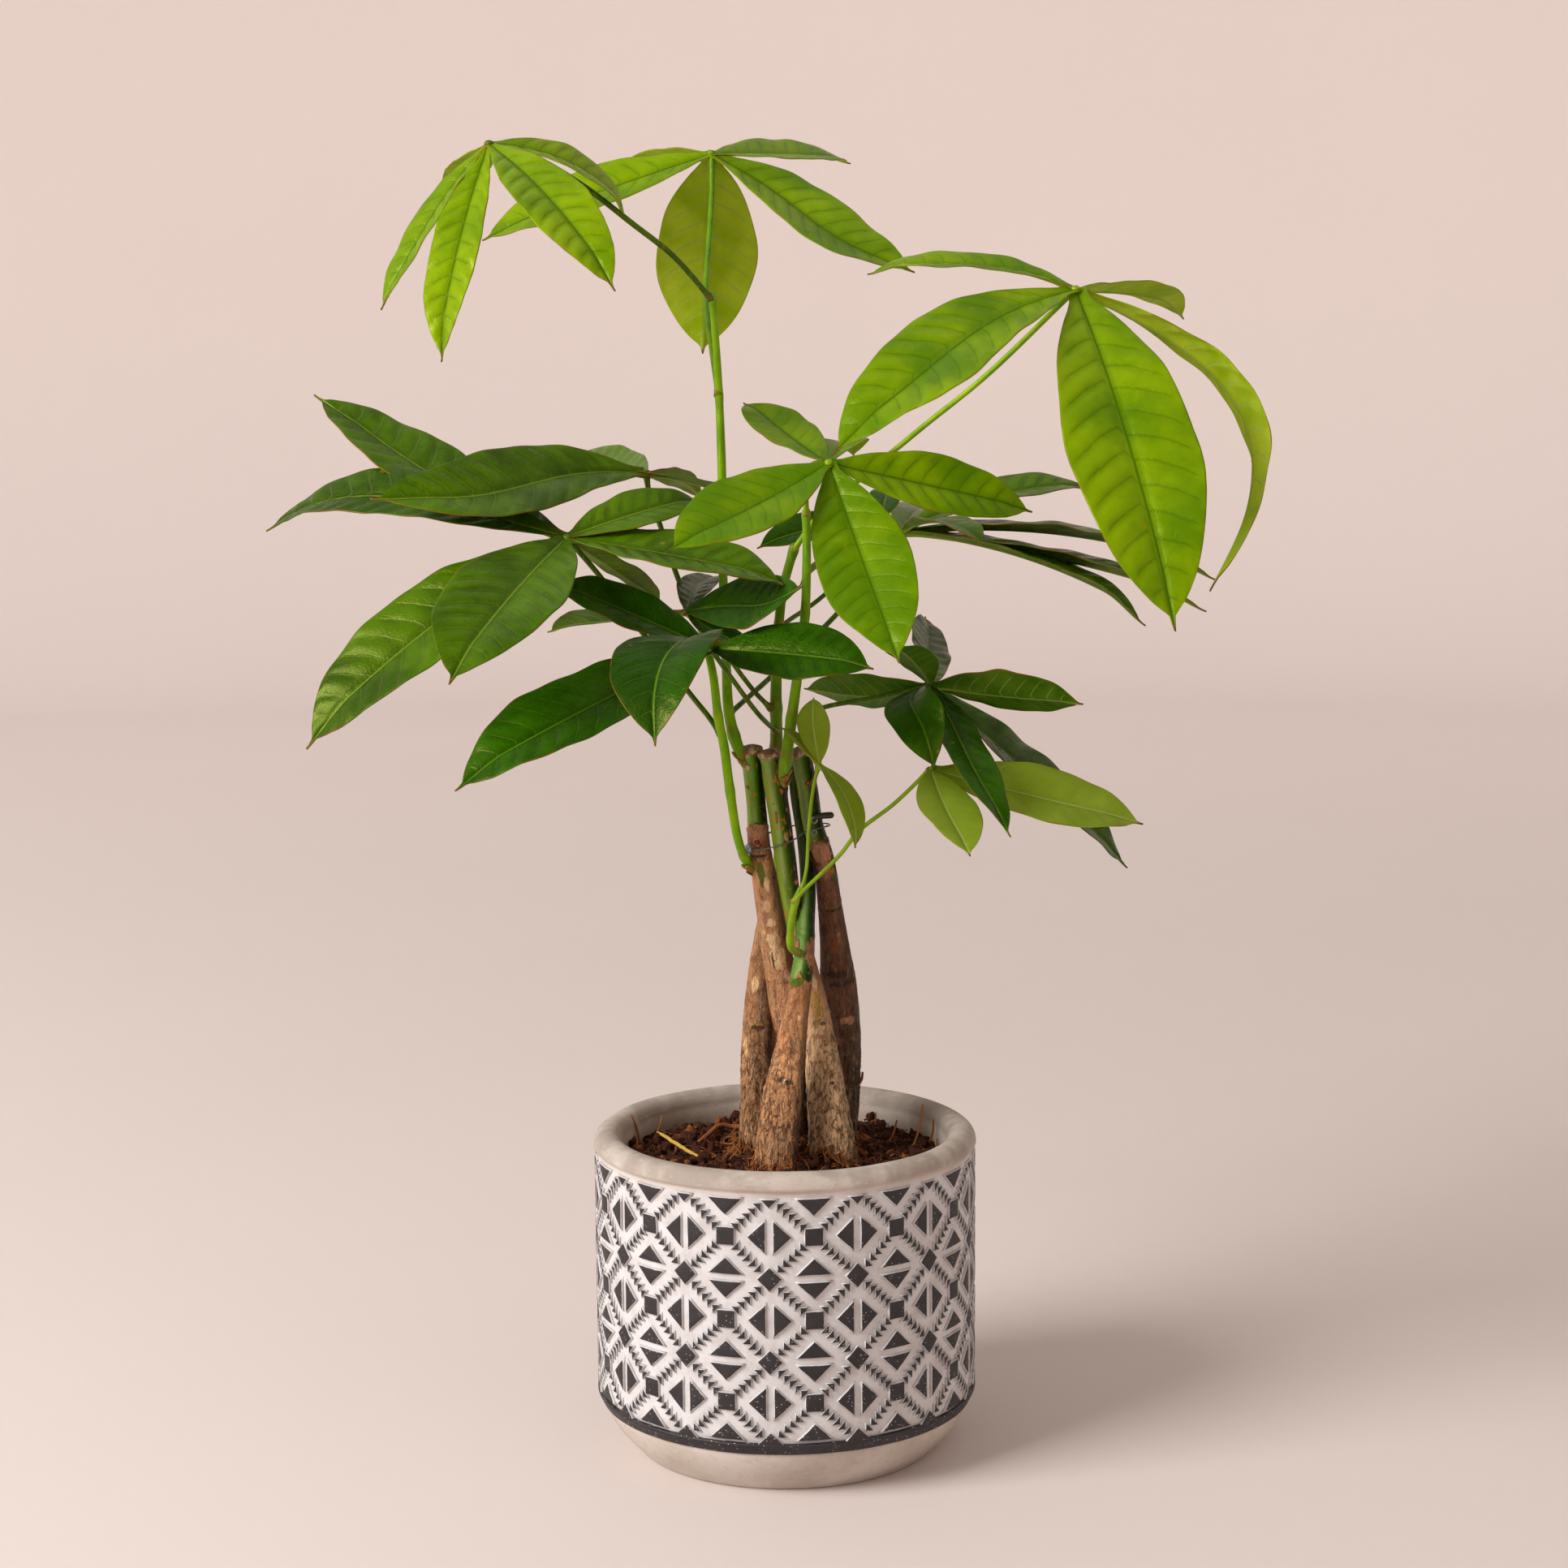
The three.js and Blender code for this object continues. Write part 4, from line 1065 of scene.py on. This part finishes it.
class Trunk:
    """The skin of one trunk, as a grid of places that runs up it and round it."""

    def __init__(self, name, seed):
        self.name, self.seed = name, seed
        *tones, (green_from, wander), self.scars, self.swell = BARKS[name]
        self.upper, self.foot, self.shaded, self.lit = (srgb(tone) for tone in tones)
        rows = curve(TRUNKS[name], TRUNK_RINGS)
        self.path, self.radius = rows[:, :3], rows[:, 3:]
        self.z = rows[:, 2:3]
        self.angle = circle(TRUNK_SIDES)[None] - math.pi
        self.right = np.sin(self.angle)
        run = np.linspace(0, distances(rows)[-1], len(rows))[:, None]
        self.away = spun(self.radius, self.angle, run + seed * 300)
        self.low = 1 - smooth(self.z, 136, 190)
        ring = stacked(3 * self.right, 3 * np.cos(self.angle), 0)
        edge = green_from + wander * (1.3 * noise(ring, 1.4, seed) + 0.5 * self.cloud(2.0, 5))
        self.past = self.z - edge
        self.green = smooth(self.past, -0.4, 0.4)
        self.flaw, self.streak = self.cloud(1.3, 11), self.cloud((1.5, 1.5, 11), 20)
        self.wide = self.cloud((7, 7, 20), 21)
        self.weave = self.furrows()
        self.rough = self.relief()

    def cloud(self, scale, seed, octaves=3):
        return cloud(self.away, scale, self.seed + seed, octaves)

    def noise(self, scale, seed):
        return noise(self.away, scale, self.seed + seed)

    def furrows(self):
        """1 on the long crests of the old bark, 0 in the furrows between them."""
        first = 1 - 3.0 * np.abs(self.noise((1.5, 1.5, 6.0), 60))
        second = 1 - 3.4 * np.abs(self.noise((1.2, 1.2, 4.2), 61))
        return np.maximum(first, second).clip(0, 1)

    def relief(self):
        """How far the bark stands out from the trunk's radius, in mm."""
        angle, seed, z, low = self.angle, self.seed, self.z, self.low
        rough = self.cloud((5, 5, 16), 0, 4) * 0.4 + self.cloud((1.5, 1.5, 3.6), 3) * 0.22
        ridge = np.sin(3 * angle + seed + z * 0.03) * 0.4 + np.sin(5 * angle - seed * 2) * 0.22
        rough = rough * (0.5 + 0.8 * low) + (ridge + self.weave * 0.42) * low
        swell, side, _ = self.swell
        rough = rough + swell * bell(z - 148, 28) * np.maximum(0, side * self.right)
        toes = np.maximum(0, np.sin(2.5 * angle + seed * 2.1)) ** 2
        toes = toes + np.maximum(0, self.noise(3.2, 62))
        rough = rough + np.exp(-np.maximum(z - 116, 0) / 3.4) * toes * 1.5
        rough = rough * (1 - 0.8 * self.green)
        return rough + 0.3 * (1 - self.green) * smooth(self.past, -2.4, -0.4)

    def browns(self):
        color = self.upper + (self.foot - self.upper) * (1 - smooth(self.z, 140, 205))[..., None]
        color = color * (1 + 0.34 * self.streak + 0.4 * self.wide)[..., None]
        color = blend(color, "#968068", smooth(self.cloud((4, 4, 11), 24), 0.1, 0.6) * 0.45)
        color = blend(color, "#B05C2C", smooth(self.cloud((3, 3, 6), 25), 0.35, 0.7) * 0.5)
        # Darker in the furrows, paler on the crests: partly pale scurf, partly painted shade and
        # highlight.
        crest = self.weave * self.low * (0.35 + 0.65 * smooth(self.wide, -0.4, 0.4))
        color = color * (1 - 0.2 * self.low * (1 - self.weave))[..., None]
        color = blend(color, "#DEB084", crest * 0.32)
        warm = np.exp(-np.maximum(self.z - 117, 0) / 5) * smooth(self.flaw, -0.5, 0.5)
        color = blend(color, "#B06030", warm * 0.6)
        # Painted shade: darker towards the right, away from the light, and on a flank grown into a
        # neighbour.
        _, side, gloom = self.swell
        crevice_shade = gloom * self.low * smooth(side * self.right, 0.5, 1)
        return color * (1 - 0.45 * smooth(self.right, 0.3, 1) - crevice_shade)[..., None]

    def greens(self):
        right = self.right
        color = self.shaded * (1 + 0.3 * self.streak + 0.3 * self.wide)[..., None]
        # Painted light and shade: the lit green towards the left, where the light is, darker to the
        # right.
        color = blend(color, self.lit, smooth(-right, 0.1, 0.9) * 0.75)
        color = color * (1 - 0.88 * smooth(right, -0.1, 0.7))[..., None]
        # Painted sheen: a pale band down the left flank, where the window's reflection would be.
        painted_sheen = bell(right + 0.35, 0.3) * smooth(self.cloud((2.2, 2.2, 14), 30), -0.9, 0.5)
        color = blend(color, "#A8B280", painted_sheen * 0.5)
        dots = smooth(self.noise((1.1, 1.1, 1.7), 40), 0.46, 0.64)
        dots = dots * smooth(self.cloud(9, 41, 2) + 0.35 * right, -0.3, 0.3)
        color = blend(color, "#AC6424", dots * 0.85)
        # Painted shade on the front trunk's green where it runs inside the braid.
        inside = smooth(self.z, BRAID_SHADE - 3, BRAID_SHADE + 3) * (self.name == "trunk_front")
        return color * (1 - 0.72 * inside)[..., None]

    def scar_rings(self):
        """Cuts the ring-shaped scars and gives their strength."""
        scars = 0 * self.away[..., 0]
        for level in self.scars:
            tilt = self.z - level - 1.6 * np.sin(self.angle + level) - 0.5 * noise(self.away, 3, 9)
            ring = stacked(2 * self.right, 2 * np.cos(self.angle), level)
            arc = smooth(noise(ring, 1.3, 4), -0.2, 0.4)
            scars = np.maximum(scars, 0.7 * arc * bell(tilt, 0.4))
            self.rough += 0.15 * bell(tilt - 1.3, 0.9) - 0.2 * arc * bell(tilt, 0.45)
        return scars

    def add_marks(self, color):
        for kind, level, degrees, tall, wide in MARKS[self.name]:
            turn = (self.angle - math.radians(degrees) + math.pi) % TAU - math.pi
            off = np.hypot((self.z - level) / tall, turn * self.radius / wide)
            mask = smooth(off + 0.5 * self.flaw, 1.12, 0.9)
            tone = srgb(BARK[kind]) * (1 + 0.15 * self.streak)[..., None]
            color = blend(color, tone, mask * 0.92)
            self.rough += mask * (-0.3 if kind == "dark" else 0.12)
            if kind == "green":
                self.green = np.maximum(self.green, mask)
            else:
                self.green = self.green * (1 - mask)
        return color

    def cut_top(self, color):
        """The calloused cut at the upper end."""
        end = np.linalg.norm(self.path - self.path[-1], axis=1)[:, None]
        if self.name != "trunk_rear":
            self.rough += bell(end, 2.6) * 0.7 * self.noise(1.6, 50)
        self.rough += (0.75 + 0.5 * self.noise(2.4, 51)) * bell(end - 2.4, 1.9)
        tops = blend(srgb("#96643E"), "#DEC49E", smooth(self.cloud(1.8, 52), -0.15, 0.35))
        self.green = self.green * smooth(end, 2.5, 4.5)
        rounding = np.sqrt(np.clip(1 - (1 - end / 1.6).clip(0, 1) ** 2, 0.12, 1))
        self.width = np.maximum((self.radius + self.rough) * rounding, 0.5)
        return blend(color, tops, smooth(end + 1.4 * self.flaw, 4.4, 2.8) * 0.95)

    def build(self):
        scars = self.scar_rings()
        color = blend(self.browns(), self.greens(), self.green)
        color = color * (1 - 0.5 * scars * (1 - 0.4 * self.green))[..., None]
        color = blend(color, "#CC9664", bell(self.past + 0.6, 0.8) * 0.6)
        color = self.cut_top(self.add_marks(color)).reshape(-1, 3)
        cap = srgb("#967050")
        color = np.concatenate([color, [cap, cap * 0.6]])
        green = self.green
        furrowed = (1 - green) * (0.25 + 0.75 * self.low)
        field = stacked(green, 1 - 0.8 * green, furrowed).reshape(-1, 3)
        field = np.concatenate([field, [[0, 1, 0], [0, 1, 0]]])
        points, faces = tube(self.path, self.width, TRUNK_SIDES)
        piece = Piece(self.name + "_bark")
        piece.add(points, faces, bark=np.clip(color, 0.002, 1), bark_a=field)
        if self.name == "trunk_right":
            add_flakes(piece)
        piece.build([BARK_MATERIAL], "bark", self.name)


def add_flakes(piece):
    """A short dry twig stub high on the trunk and a lifted flake of bark near its foot."""
    for way, thick, tone in (
        ([[11, -1.5, 262], [13.5, -2.6, 268], [13, -3.2, 274]], 0.9, "#80482C"),
        ([[28.5, 9, 140], [30.6, 8.4, 143], [31, 8.2, 146]], 0.7, "#805432"),
    ):
        points, faces = tube(curve(way, 14), np.linspace(1.2, 0.6, 14) * thick, 9)
        points = points + cloud(points, 1.2, 3, 2)[:, None] * 0.2
        piece.add(points, faces, bark=srgb(tone), bark_a=(0, 1, 0))


# The swellings along each shoot: height, mm of swell, brownness.
KNOTS = {
    "shoot_tall": [(283, 0.5, 0.5), (412, 0.3, 0.1), (448, 0.6, 0.2)],
    "shoot_left": [(236, 0.5, 0.4), (262, 0.25, 0.15), (291, 0.4, 0.3), (324, 0.5, 0.3)],
    "shoot_middle": [(276, 0.6, 0.6), (292, 0.5, 0.35), (323, 0.5, 0.3), (353, 0.5, 0.3)],
    "shoot_right": [(274, 0.5, 0.6), (290, 0.4, 0.3), (330, 0.3, 0.2), (367, 0.5, 0.3)],
    "sprout_low": [(206, 0.3, 0.3), (221, 0.4, 0.2)],
}


def make_shoot(name, seed):
    rows = curve(SHOOTS[name], 220)
    path, radius = rows[:, :3], rows[:, 3:]
    run = distances(path)[:, None]
    collar = bell(run, 5)
    swell, brown = collar * (0.1 if name == "shoot_right" else 0.5), collar * 0.9
    for level, by, tone in KNOTS[name]:
        past = run - run[np.argmin(np.abs(path[:, 2] - level))]
        swell = swell + 0.7 * by * bell(past, 2.2)
        brown = np.maximum(brown, tone * bell(past - 2.4, 0.9))
    around = spun(2, circle(SHOOT_SIDES) - math.pi, run)
    rough = cloud(around, (1.5, 1.5, 12), seed, 2) * 0.05 + collar * noise(around, 1.2, seed) * 0.3
    past = (np.linspace(0, 1, len(path))[:, None] - 0.985) / 0.015
    tip = np.sqrt(np.clip(1 - past.clip(0, 1) ** 2, 0.05, 1))
    width = np.maximum((radius + swell + rough) * tip, 0.3)
    points, faces = tube(path, width, SHOOT_SIDES)
    field = stacked(0 * width, brown, 0).reshape(-1, 3)
    piece = Piece(name + "_stem")
    piece.add(points, faces, stem_a=np.concatenate([field, [[0, 0.8, 0], [0, 0.2, 0]]]))
    if name != "sprout_low":
        add_scales(piece, path, run[:, 0], seed)
    piece.build([stem_material(name + "_green")], "green_stem", name)


def add_scales(piece, path, run, seed):
    """Papery red-brown scales round the foot of a shoot."""
    rng = np.random.default_rng(seed)
    e1, e2 = ring_frames(path)
    for i in range(13):
        at = np.searchsorted(run, rng.uniform(0.8, 6.5))
        turn = TAU * i / 6.5 + rng.uniform(-0.3, 0.3)
        out = e1[at] * math.sin(turn) - e2[at] * math.cos(turn)
        way = unit(path[at + 4] - path[at])
        axes = np.array([out + way * 0.3, np.cross(way, out), way + out * 0.25])
        size = rng.uniform(0.8, 1.6) * np.array([0.4, 0.9, 1.5])
        lump, faces = blob(size, seed * 10 + i, 0.5, 5, 8)
        piece.add(lump @ axes + path[at] + out * 2.4, faces, stem_a=(0, 1, 0))


# ---- Leaves

# Per leaf: kind, tint (partly painted shade and highlight), relief of the quilting, how much the
# margin waves, kind of stalk, and the stalk's radius in mm.
LOOKS = {
    "leaf_top_left": ("light", -0.2, 2.0, 0.35, "dark", 1.1),
    "leaf_top_back": ("light", 0.08, 0.8, 0.3, "green", 1.1),
    "leaf_top_right": ("light", 0.15, 1.4, 0.35, "light", 1.05),
    "leaf_front": ("light", 0.35, 1.4, 0.4, "light", 1.05),
    "leaf_left": ("dark", -0.1, 1.6, 0.4, "dark", 1.05),
    "leaf_left_back": ("dark", -0.05, 1.2, 0.35, "dark", 1.05),
    "leaf_low_left": ("deep", 0.0, 1.2, 0.5, "dark", 0.95),
    "leaf_centre": ("deep", 0.05, 1.1, 0.4, "dark", 0.95),
    "leaf_right": ("deep", 0.0, 1.1, 0.5, "dark", 0.95),
    "leaf_low_small": ("pale", 0.0, 0.5, 0.4, "pale", 0.65),
    "leaf_low_right": ("pale", 0.0, 0.7, 0.4, "pale", 0.8),
    "leaf_right_back": ("dark", -0.25, 0.9, 0.4, "dark", 1.05),
    "leaf_centre_back": ("deep", 0.1, 0.6, 0.4, "dark", 0.9),
}
# Leaflets darker (above 0) or fresher (below 0) than their leaf, partly as painted shade and
# highlight.
TINTS = {
    "leaf_left": {1: 0.5, 2: 0.12, 4: -0.15}, "leaf_low_left": {2: 0.5, 1: -0.2},
    "leaf_right": {3: -0.5}, "leaf_centre": {3: 0.4}, "leaf_left_back": {2: -0.6, 4: -0.4},
}
# Sideways bend of leaflets that don't run straight: as a bow and as an S, in shares of the length.
SWAYS = {
    "leaf_top_left": {0: (-0.01, 0.02)}, "leaf_top_back": {3: (0.03, -0.04)},
    "leaf_top_right": {0: (-0.02, 0.03), 1: (0, 0.02), 3: (0, -0.04), 4: (-0.03, -0.04)},
    "leaf_left": {1: (0.01, -0.02), 5: (0.02, 0)}, "leaf_left_back": {0: (-0.05, 0.04)},
    "leaf_low_left": {2: (0.02, -0.01)}, "leaf_right": {3: (0.05, 0.05), 5: (0.04, -0.01)},
    "leaf_centre": {0: (0.01, -0.04), 1: (0.04, 0.01), 2: (-0.06, 0.01)},
    "leaf_low_right": {1: (0.03, 0)}, "leaf_low_small": {0: (-0.05, 0.01)},
}
NO_LEAF = {"leaf_a": 0, "leaf_b": 0}


def leaflet_width(s):
    """Share of the full width along a leaflet: wedge-shaped base, drawn-out tip."""
    body = np.clip(s / 0.54, 0, 2) ** 0.96 * np.clip((0.965 - s) / 0.425, 0, 2) ** 0.76
    tail = 0.16 * np.clip((1 - s) / 0.14, 0, 1) ** 0.9
    return (body**5 + tail**5) ** 0.2 * (s < 1)


def leaflet_axes(turn, rise, roll):
    """Directions along a leaflet, across it and up from it."""
    a, c, t = np.radians([turn, rise, roll])
    along = np.array([math.cos(c) * math.cos(a), math.cos(c) * math.sin(a), math.sin(c)])
    level = unit(np.cross(along, [0, 0, 1]))
    across = level * math.cos(t) + np.cross(along, level) * math.sin(t)
    return along, across, np.cross(across, along)


def sheet_faces(rows, columns):
    """Faces of a sheet's upper side, its under side and the margin between them."""
    n = rows * columns
    cells = np.arange(n).reshape(rows, columns)
    edge = np.concatenate([cells[0], cells[1:, -1], cells[-1, -2::-1], cells[-2:0:-1, 0]])
    after = np.roll(edge, -1)
    upper, lower = grid_faces(rows, columns), grid_faces(rows, columns, turned=True, start=n)
    return [upper, lower, stacked(after, edge, edge + n, after + n)]


def add_leaflet(piece, hub, spec, sway, tint, relief, waves, seed):
    turn, rise, length, width, bow, roll = spec
    along, across, up = leaflet_axes(turn, rise, roll)
    rng = np.random.default_rng(seed)
    rows, columns = max(34, int(length / 1.3)), 27
    s = np.linspace(0, 1, rows)[:, None]
    v = np.sin(np.linspace(-0.4, 0.4, columns) * math.pi)[None] / math.sin(0.4 * math.pi)
    mag, left = np.abs(v), v > 0
    size = min(length / 110, 1.2)
    half = np.maximum(leaflet_width(s) * width / 2, np.where(s < 0.5, 0.75, 0.2))
    wobble = np.sin(s * TAU * rng.uniform(2, 3.5) + rng.uniform(0, TAU) + left * 2.1)
    half = half * (1 + 0.02 * wobble * (s > 0.08))
    # Quilting between the veins, waves along the margin, and a tip that hangs
    veins = round(7 + length / 20)
    count = veins * (s - 0.62 * half / length * mag**1.35) + 0.5 * left * rng.uniform(0.2, 0.8)
    puff = np.abs(np.sin(math.pi * count)) ** 0.75 - 0.62
    shape = mag**0.6 * (1 - mag**5) * smooth(s, 0.02, 0.16) * smooth(s, 1, 0.86)
    phase = s * TAU * rng.uniform(2.2, 3.8) + rng.uniform(0, TAU) + left * rng.uniform(0.6, 2.6)
    ripple = np.sin(phase) + 0.5 * np.sin(s * TAU * veins * 0.5 + rng.uniform(0, TAU))
    lift = half * 0.2 * (1.42 * mag - 0.55 * mag**2) + puff * shape * 0.8 * relief * size
    ripple = ripple * mag**2.2 * 1.15 * waves * size
    lift = lift + ripple * smooth(s, 0.05, 0.3) * smooth(s, 1, 0.88)
    lift = lift - 0.03 * length * smooth(s, 0.8, 1) * (0.4 + rng.uniform(0, 0.8))
    lift = lift - 0.5 * size * bell(mag * half, 0.9)
    lean = length * (sway[0] * np.sin(s * math.pi) + sway[1] * np.sin(s * TAU))
    reach = half * v * (1 - 0.04 * mag) + lean
    normal = unit(np.cross(across, along + up * (4 * bow * (1 - 2 * s))))
    middle = np.array(hub) + along * (length * s) + up * (length * bow * 4 * s * (1 - s))
    points = middle[:, None] + across * reach[..., None] + normal[:, None] * lift[..., None]
    # Thickness, with a keel and raised veins on the under side
    face = unit(np.cross(np.gradient(points, axis=1), np.gradient(points, axis=0)))
    rib = half * mag
    thick = 0.2 + 0.75 * bell(s * length, 5) * bell(rib, 1.1)
    keel = (0.95 - 0.75 * s) * bell(rib, 0.75) * size
    veined = 0.22 * size * bell((count + 0.5) % 1 - 0.5, 0.035) * shape
    upper = points + face * thick[..., None]
    lower = points - face * (thick + keel + veined)[..., None]
    leaf_a = stacked(rib, (1 - mag) * half, count).reshape(-1, 3)
    leaf_b = stacked(s, 1 + 0 * rib, tint + rng.normal(0, 0.08)).reshape(-1, 3)
    piece.add(
        np.concatenate([upper, lower]).reshape(-1, 3), sheet_faces(rows, columns), stem_a=0,
        leaf_a=np.tile(leaf_a, (2, 1)), leaf_b=np.concatenate([leaf_b, leaf_b * [1, 0, 1]]),
    )


def add_stalk(piece, stalk, hub, thick, seed):
    way = [*stalk, hub]
    length = distances(curve(way, 12))[-1]
    rings, sides = max(24, int(length / 1.6)), 14
    path = curve(way, rings)
    run = np.linspace(0, length, rings)[:, None]
    angle = circle(sides) - math.pi
    rough = cloud(stacked(np.sin(angle), np.cos(angle), run), (1, 1, 7), seed, 2) * 0.05
    width = thick + 0.7 * bell(run, 2.6) + 0.45 * bell(length - run, 3) + rough
    points, faces = tube(path, width, sides)
    centre = np.concatenate([np.repeat(path, sides, 0), path[[0, -1]]])
    below = np.clip((centre - points)[:, 2] / 1.1, 0, 1)
    brown = np.concatenate([np.repeat(bell(run, 2.2) * 0.5, sides), [0, 0]])
    piece.add(points, faces, 1, stem_a=stacked(below, brown, 0), **NO_LEAF)
    knob, faces = blob([thick * 1.8, thick * 1.8, thick * 1.4], seed, 0.22, 9, 14)
    piece.add(knob + hub, faces, 1, stem_a=(0, 0.1, 0), **NO_LEAF)


def make_leaf(name, seed):
    hub, stalk, leaflets = LEAVES[name]
    kind, tint, relief, waves, stalk_kind, thick = LOOKS[name]
    piece = Piece(name + "_blades")
    for i, leaflet in enumerate(leaflets):
        sway = SWAYS.get(name, {}).get(i, (0, 0))
        shade = tint + TINTS.get(name, {}).get(i, 0)
        add_leaflet(piece, hub, leaflet, sway, shade, relief, waves, seed * 100 + i)
    add_stalk(piece, stalk, hub, thick, seed)
    slot = {"light": "leaf_light", "pale": "leaf_pale"}.get(kind, "leaf_dark")
    piece.build([LEAF_MATERIALS[kind], STALK_MATERIALS[stalk_kind]], slot, name)


# ---- Tie


def make_tie():
    """The wire round the trunks, its knot and the short end below it."""
    path = curve(TIE, 260, closed=True)[:-1]
    e1, e2 = (e[:, None] for e in ring_frames(path, (0, 0, 1), closed=True))
    angle = circle(10)[:, None]
    run = np.arange(len(path))[:, None, None]
    width = 0.3 + 0.04 * np.sin(run * 0.7) + 0.04 * np.sin(angle * 2 + run * 0.35)
    piece = Piece("tie_loop")
    piece.add(*skin(path[:, None] + (e1 * np.cos(angle) + e2 * np.sin(angle)) * width))
    knob, faces = blob([2.0, 1.6, 1.9], 3, 0.25, 8, 12)
    piece.add(knob + [-13.4, -7.2, 238.2], faces, 1)
    tail = curve([[-13.2, -6.8, 238.5], [-14.6, -8.4, 236.6], [-14.4, -9.4, 234.4]], 14)
    piece.add(*tube(tail, np.linspace(0.5, 0.3, 14), 8))
    # Clear line: thin stretches show the dark stems behind it; the thick drop is a painted glint
    line = plain_material("wire", "#586456", "#3A4638", 500, 700, (0.12, 0.3), 1200)
    drop = plain_material("wire_knot", "#B0BCC4", "#84949C", 500, 700, (0.12, 0.3), 1200)
    piece.build([line, drop], "clear_wire", "tie_wire")


def make_clip():
    """The dark tab and the two small rings that the wire runs through."""
    spots = [[12.2, -2.9, 249.4], [14, -3.1, 250.2], [17, -3.2, 250.6], [20.1, -2.6, 250.6]]
    way = curve(spots, 26)
    s = np.linspace(0, 1, 26)
    rounding = np.sqrt(np.clip(1 - (2 * s - 1) ** 6, 0.03, 1))
    width = 1.45 * rounding * (1 - 0.12 * np.sin(s * math.pi))
    piece = Piece("tie_tab")
    piece.add(*tube(way, width, 16, (0, 0, 1)))
    angle, round_it, thin = circle(24)[:, None], circle(8), 0.38
    for x, y, z, r in ((12.3, -3.6, 248.8, 1.1), (12.3, -3.4, 243.9, 0.95)):
        reach = r + thin * np.cos(round_it)
        ring = stacked(reach * np.cos(angle), thin * np.sin(round_it), reach * np.sin(angle))
        piece.add(*skin(ring + [x, y, z], turned=True), 1)
    tab = plain_material("dark_plastic", "#121810", "#282E22", 400, 900, (0.3, 0.5), 1500)
    rings = plain_material("dark_plastic_rings", "#68665A", "#8E8A7E", 400, 900, (0.3, 0.5), 1500)
    piece.build([tab, rings], "dark_plastic", "tie_clip")


# ---- Stage, lights and camera

FLOOR_REACH, FLOOR_BEND, WALL_TOP = 2.6, 0.7, 3.2  # metres


def make_stage():
    """A round pale floor that sweeps up into a wall on all sides."""
    profile = [(r, 0) for r in (0.02, 0.3, 0.8, 1.6, FLOOR_REACH)]
    for a in np.radians(range(6, 91, 6)):
        profile.append((FLOOR_REACH + FLOOR_BEND * math.sin(a), FLOOR_BEND * (1 - math.cos(a))))
    profile.append((FLOOR_REACH + FLOOR_BEND, WALL_TOP))
    r, z = np.array(profile).T[:, :, None]
    sides = 96
    angle = circle(sides)
    points = stacked(r * np.cos(angle), r * np.sin(angle), z).reshape(-1, 3)
    piece = Piece("floor")
    piece.add(points / MM, [grid_faces(len(profile), sides, around=True), np.arange(sides)[None]])
    floor = piece.thing([floor_material()])


def area_light(name, place, size, power, color):
    """A soft light that looks at the middle of the plant."""
    data = bpy.data.lights.new(name, "AREA")
    data.shape = "RECTANGLE"
    data.size, data.size_y = size
    data.energy = power
    data.color = color
    lamp = placed(name, data)
    lamp.location = place
    way = Vector((0, 0, 0.25)) - Vector(place)
    lamp.rotation_euler = way.to_track_quat("-Z", "Y").to_euler()


def make_lights():
    world = bpy.data.worlds.new("studio")
    bpy.context.scene.world = world
    world.use_nodes = True
    back = world.node_tree.nodes["Background"]
    back.inputs[0].default_value = (0.93, 0.9, 0.88, 1)
    back.inputs[1].default_value = 0.52
    area_light("window", (-1.9, -1.15, 1.5), (1.3, 1.3), 86, (1.0, 0.99, 0.98))
    area_light("fill", (1.9, -1.7, 0.9), (1.8, 1.6), 3, (1.0, 0.86, 0.76))


def make_camera():
    yaw, pitch, roll = np.radians([CAMERA_YAW, CAMERA_PITCH, CAMERA_ROLL])
    data = bpy.data.cameras.new("camera")
    data.sensor_width = SENSOR_WIDTH
    data.lens = FOCAL_PIXELS * SENSOR_WIDTH / FRAME_PIXELS
    camera = placed("camera", data)
    place = Matrix.Translation((0, -CAMERA_DISTANCE * MM, CAMERA_HEIGHT * MM))
    aim = Matrix.Rotation(-yaw, 4, "Z") @ Matrix.Rotation(math.pi / 2 - pitch, 4, "X")
    camera.matrix_world = place @ aim @ Matrix.Rotation(roll, 4, "Z")
    bpy.context.scene.camera = camera


# ---- Everything

make_stage()
make_lights()
make_camera()
bpy.context.scene.view_settings.view_transform = "Standard"

BARK_MATERIAL = bark_material()
LEAF_MATERIALS = {kind: leaf_material(kind) for kind in LEAF_KINDS}
STALK_MATERIALS = {
    kind: stem_material("stalk_" + kind) for kind in ("light", "green", "dark", "pale")
}
make_pot()
make_pattern()
make_soil()
for index, trunk in enumerate(TRUNKS):
    Trunk(trunk, index + 1).build()
for index, shoot in enumerate(SHOOTS):
    make_shoot(shoot, index + 20)
make_tie()
make_clip()
for index, leaf in enumerate(LEAVES):
    make_leaf(leaf, index + 40)
